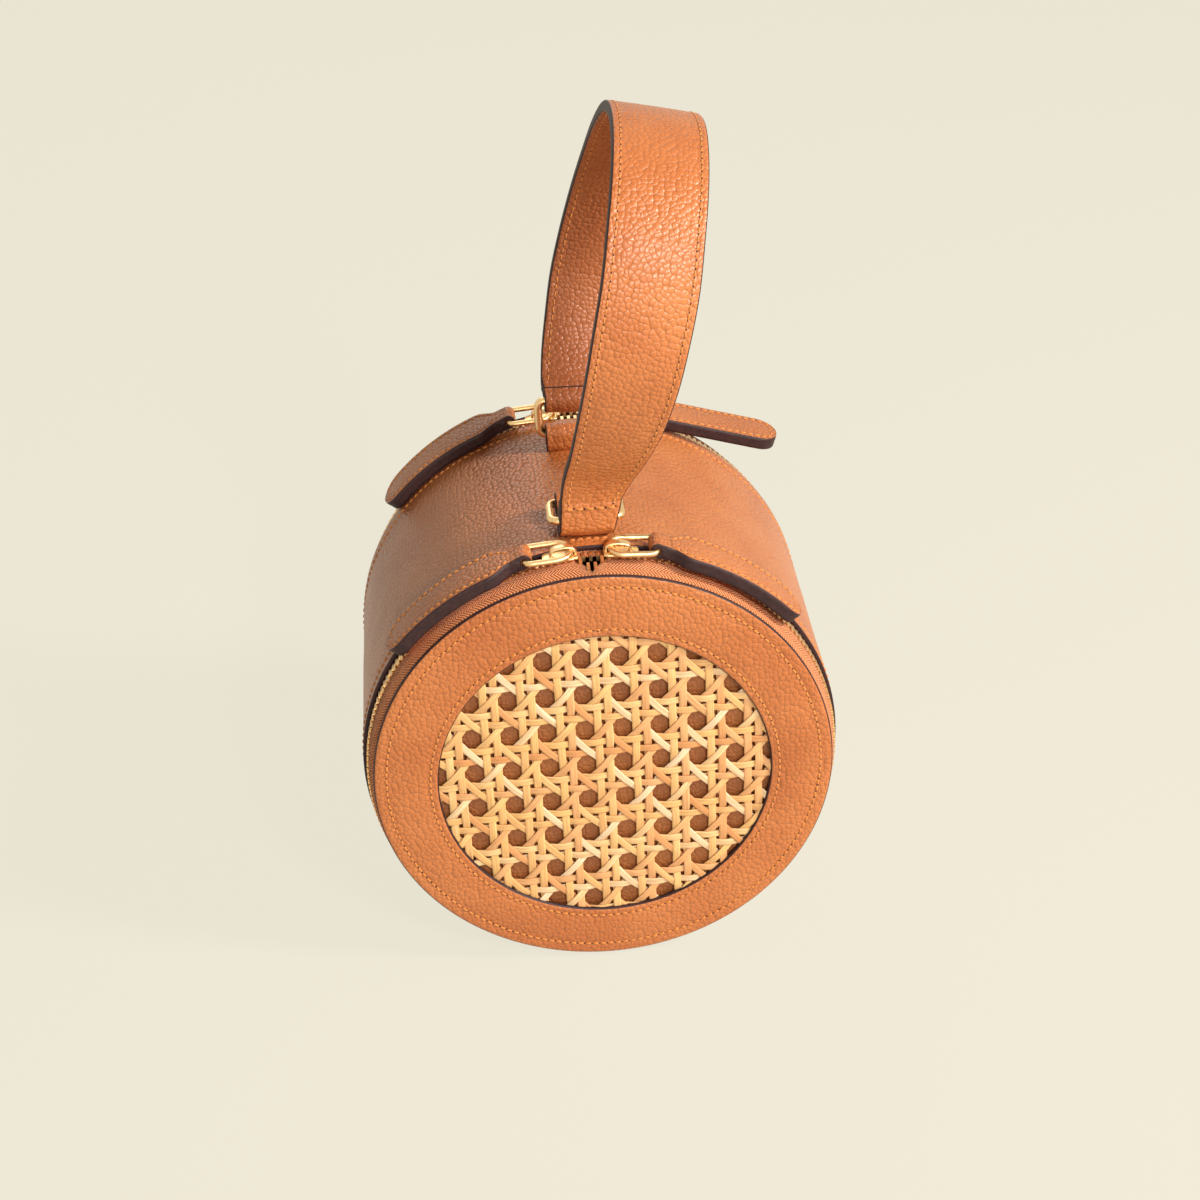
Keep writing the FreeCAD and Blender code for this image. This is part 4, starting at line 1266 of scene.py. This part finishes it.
# one row for each place along the strap: along from the front bar to the back one, up, over to
# the right, width and turn, each a share of the size it follows
strap_shares = [
    (-0.04, 0.025, 0.02, 0.60, 0.00), (-0.05, 0.068, 0.05, 0.65, 0.15),
    (-0.08, 0.131, 0.13, 0.73, 0.46), (-0.16, 0.214, 0.25, 0.81, 0.77),
    (-0.24, 0.312, 0.37, 0.90, 1.00), (-0.30, 0.427, 0.49, 0.96, 1.00),
    (-0.31, 0.541, 0.60, 0.99, 1.00), (-0.26, 0.671, 0.73, 1.00, 1.00),
    (-0.14, 0.786, 0.83, 1.00, 1.00), (0.04, 0.876, 0.92, 1.00, 1.00),
    (0.27, 0.931, 0.98, 1.00, 1.00), (0.50, 0.946, 1.00, 1.00, 1.00),
    (0.75, 0.914, 0.97, 1.00, 1.00), (0.98, 0.825, 0.89, 1.00, 1.00),
    (1.17, 0.701, 0.78, 1.00, 1.00), (1.29, 0.569, 0.64, 0.99, 1.00),
    (1.34, 0.437, 0.49, 0.97, 1.00), (1.33, 0.312, 0.34, 0.93, 0.92),
    (1.26, 0.204, 0.21, 0.85, 0.69), (1.17, 0.124, 0.10, 0.76, 0.46),
    (1.08, 0.064, 0.02, 0.67, 0.23), (1.02, 0.032, -0.02, 0.61, 0.00),
]


# The same hide, darker and redder, on the strap's inside: a painted shade for the inside of the
# arch.
strap_inside_painted_shade_leather = pebbled_leather("cowhide_darkened_as_painted_shade_inside_the_strap", "#B56A3A", "#A1562C", "#6E3416",
    pebble_mm=1.75, dome_mm=0.13, gloss=0.36)


def between(values, k, t):
    # a smooth value between neighbours k and k + 1
    a, b = values[max(k - 1, 0)], values[k]
    c, d = values[k + 1], values[min(k + 2, len(values) - 1)]
    return 0.5 * (2 * b + (c - a) * t + (2 * a - 5 * b + 4 * c - d) * t * t
        + (3 * b - 3 * c + d - a) * t ** 3)


def strap_stations():
    last = len(strap_shares) - 1
    places = []
    for k, (along, up, over, _, _) in enumerate(strap_shares):
        y = front_bar.y + along * (back_bar.y - front_bar.y)
        z = front_bar.z + k / last * (back_bar.z - front_bar.z) + up * strap_rise
        places.append(Vector((over * strap_lean, y, z)))
    widths = [s[3] * strap_width for s in strap_shares]
    turns = [s[4] * strap_turn for s in strap_shares]
    fine = []
    for k in range(last):
        for t in (n / 7 for n in range(7)):
            fine.append((between(places, k, t), between(widths, k, t), between(turns, k, t)))
    fine.append((places[-1], widths[-1], turns[-1]))
    stations = []
    for k, (centre, width, turn) in enumerate(fine):
        ahead = fine[min(k + 1, len(fine) - 1)][0] - fine[max(k - 1, 0)][0]
        tilt = math.radians(turn)
        across = Vector((math.cos(tilt), 0, -math.sin(tilt)))
        out = -across.cross(ahead.normalized())
        stations.append((centre, across, out.normalized(), width / 2, strap_thickness))
    return stations


stations = strap_stations()
# the arch's outside is away from its middle
heart = Vector((strap_lean * 0.5, -6 * MM, 240 * MM))
if stations[40][2].dot(stations[40][0] - heart) < 0:
    stations = [(c, a, -o, h, t) for c, a, o, h, t in stations]


def strap_slots(i, j):
    # the strap's inside takes the darker, redder hide, a painted shade
    return 2 if 16 <= j <= 25 else strip_slots(i, j)


strap_hides = [tan_leather, painted_edge, strap_inside_painted_shade_leather]
parts = [sweep("strap_body", [strip_section(s, strap_row_inset) for s in stations[3:-3]],
    strap_hides, strap_slots)]
# each fold: the ring's bar, the hole round it, the leather round that, and the station where the
# fold meets the strap. The back hole is wide, because the chain of joints is open there.
for bar, hole, wrap, at in ((front_bar, 1.8 * MM, 3.6 * MM, 8),
        (back_bar, 2.75 * MM, 1.95 * MM, -7)):
    # the darker hide of painted shade goes on from the strap's inside into the fold
    inner = range(fold_steps // 2) if at > 0 else range(fold_steps // 2, fold_steps)
    ahead = stations[at][0] - bar
    parts.append(wrapped_end("strap_fold", bar, ahead, stations[at][1], hole, wrap, ahead.length,
        strap_thickness / 2, fold_half_width, stations[at][3] - fold_half_width, strap_hides,
        lambda i, j, inner=inner: 1 if strip_slots(i, j) else 2 if i in inner else 0))
strap = join("strap_leather", parts)
stand_for(strap, "handle_strap", "handle_strap")
rows = []
for face in (1, -1):
    for edge_side in (1, -1):
        rows.append([(c + a * edge_side * (h - strap_row_inset), o * face)
            for c, a, o, h, t in stations[5:-5]])
sew("strap_stitches", "handle_strap", laid_on(strap, rows), width=0.66 * MM)
cross_rows, fold_ends = [], []
for at in (5, -7):
    c, a, o, h, t = stations[at]
    cross_rows.append([(c + a * x * MM, o) for x in (-7, -3.5, 0, 3.5, 7)])
sew("strap_cross_stitches", "handle_strap", laid_on(strap, cross_rows), width=0.95 * MM,
    pitch=3.0 * MM, length=2.5 * MM)
for bar, at in ((front_bar, 8), (back_bar, -7)):
    # the cut end of the folded layer, a dark line across the strap's inside
    c, a, o, h, t = stations[at]
    ahead = (c - bar).normalized()
    line = [(bar + ahead * 3.0 * MM + a * x * 9.2 * MM / 12, -o) for x in range(-12, 13)]
    laid = laid_on(strap, [line])[0]
    corners = ((-0.3, -0.3), (0.3, -0.3), (0.2, 0.14), (-0.2, 0.14))
    sections = [[p + ahead * u * MM + out * v * MM for u, v in corners] for p, out in laid]
    fold_ends.append(sweep("fold_end", sections, [painted_edge], lambda i, j: 0))
fold_end = join("strap_fold_ends", fold_ends)
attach(fold_end, "handle_strap")

# ---------------------------------------------------------------- Studio
# A pale cream floor and background. The key lamp stands high on the right, a softbox above the
# camera gives the leather its highlights, and weak lamps in front and behind fill the shadows.
cream = "#F0EBD9"


def background_rays(tree):
    # 1 for the camera and for what gloss and glass show, 0 for the light on the object
    rays = add(tree, "ShaderNodeLightPath").outputs
    seen = add(tree, "ShaderNodeMath", (rays["Is Camera Ray"], rays["Is Glossy Ray"]),
        operation="MAXIMUM")
    return add(tree, "ShaderNodeMath", (seen, rays["Is Transmission Ray"]), operation="MAXIMUM")


def studio_floor(name):
    # A matt painted board, lit evenly: it keeps the object's shadow.
    material, tree, shader = new_material(name)
    give(tree, shader, {"Base Color": linear("#D9D2BF"), "Roughness": 1.0,
        "Specular IOR Level": 0.0})
    share = add(tree, "ShaderNodeMath", (background_rays(tree), 0.9), operation="MULTIPLY")
    plain = add(tree, "ShaderNodeEmission", {"Color": linear(cream)})
    both = add(tree, "ShaderNodeMixShader", (share, shader, plain))
    output = [n for n in tree.nodes if n.type == "OUTPUT_MATERIAL"][0]
    tree.links.new(both.outputs[0], output.inputs["Surface"])
    return material


floor_mesh = bpy.data.meshes.new("floor")
reach = 6.0
floor_mesh.from_pydata([(-reach, -reach, 0), (reach, -reach, 0), (reach, reach, 0),
    (-reach, reach, 0)], [], [(0, 1, 2, 3)])
floor_mesh.materials.append(studio_floor("matt_cream_floor"))
put_in("floor", floor_mesh)

world = bpy.data.worlds.new("studio")
bpy.context.scene.world = world
world.use_nodes = True
world.node_tree.nodes.clear()
sky = world.node_tree
soft = add(sky, "ShaderNodeBackground", {"Color": linear("#FFECDA"), "Strength": 0.12})
plain = add(sky, "ShaderNodeBackground", {"Color": linear(cream), "Strength": 1.0})
both = add(sky, "ShaderNodeMixShader", (background_rays(sky), soft, plain))
add(sky, "ShaderNodeOutputWorld", {"Surface": both})


def lamp(name, place, target, size, power, colour):
    light = bpy.data.lights.new(name, "AREA")
    light.shape = "DISK"
    light.size = size
    light.energy = power
    light.color = linear(colour)[:3]
    holder = put_in(name, light)
    holder.location = place
    holder.rotation_euler = (Vector(target) - Vector(place)).to_track_quat("-Z", "Y").to_euler()


lamp("key", (1.2, -0.55, 1.0), (0, 0, 0.14), size=0.32, power=26.0, colour="#FFF6EC")
lamp("front", (0.0, -1.5, 0.5), (0, 0, 0.08), size=0.6, power=4.6, colour="#FFF8F0")
lamp("softbox", (0.45, -1.1, 0.98), (0, 0, 0.25), size=0.2, power=10.5, colour="#FFFFFF")
lamp("back", (-0.2, 1.2, 1.0), (0, 0, 0.12), size=0.7, power=3.0, colour="#FFFFFF")

# the photograph's view: a lens of about 69 mm, 32 degrees above and 0.8 m away
view_az, view_el, view_roll = math.radians(-3.143), math.radians(31.657), math.radians(-3.208)
toward = Vector((math.sin(view_az) * math.cos(view_el), -math.cos(view_az) * math.cos(view_el),
    math.sin(view_el)))
level = Vector((0, 0, 1)).cross(toward).normalized()
upward = toward.cross(level)
right = level * math.cos(view_roll) + upward * math.sin(view_roll)
up = upward * math.cos(view_roll) - level * math.sin(view_roll)
# where the camera stands, measured from the middle of the front lid
disc_centre = Vector((0, -lid_face, axis_height))
eye = disc_centre - right * 1.66 * MM + up * 60.54 * MM + toward * 800.75 * MM
camera_data = bpy.data.cameras.new("camera")
camera_data.sensor_width = 36.0
camera_data.lens = 69.183
camera_data.clip_start = 0.01
camera = put_in("camera", camera_data)
pose = Matrix((right, up, toward)).transposed().to_4x4()
pose.translation = eye
camera.matrix_world = pose
bpy.context.scene.camera = camera
bpy.context.scene.view_settings.view_transform = "Standard"
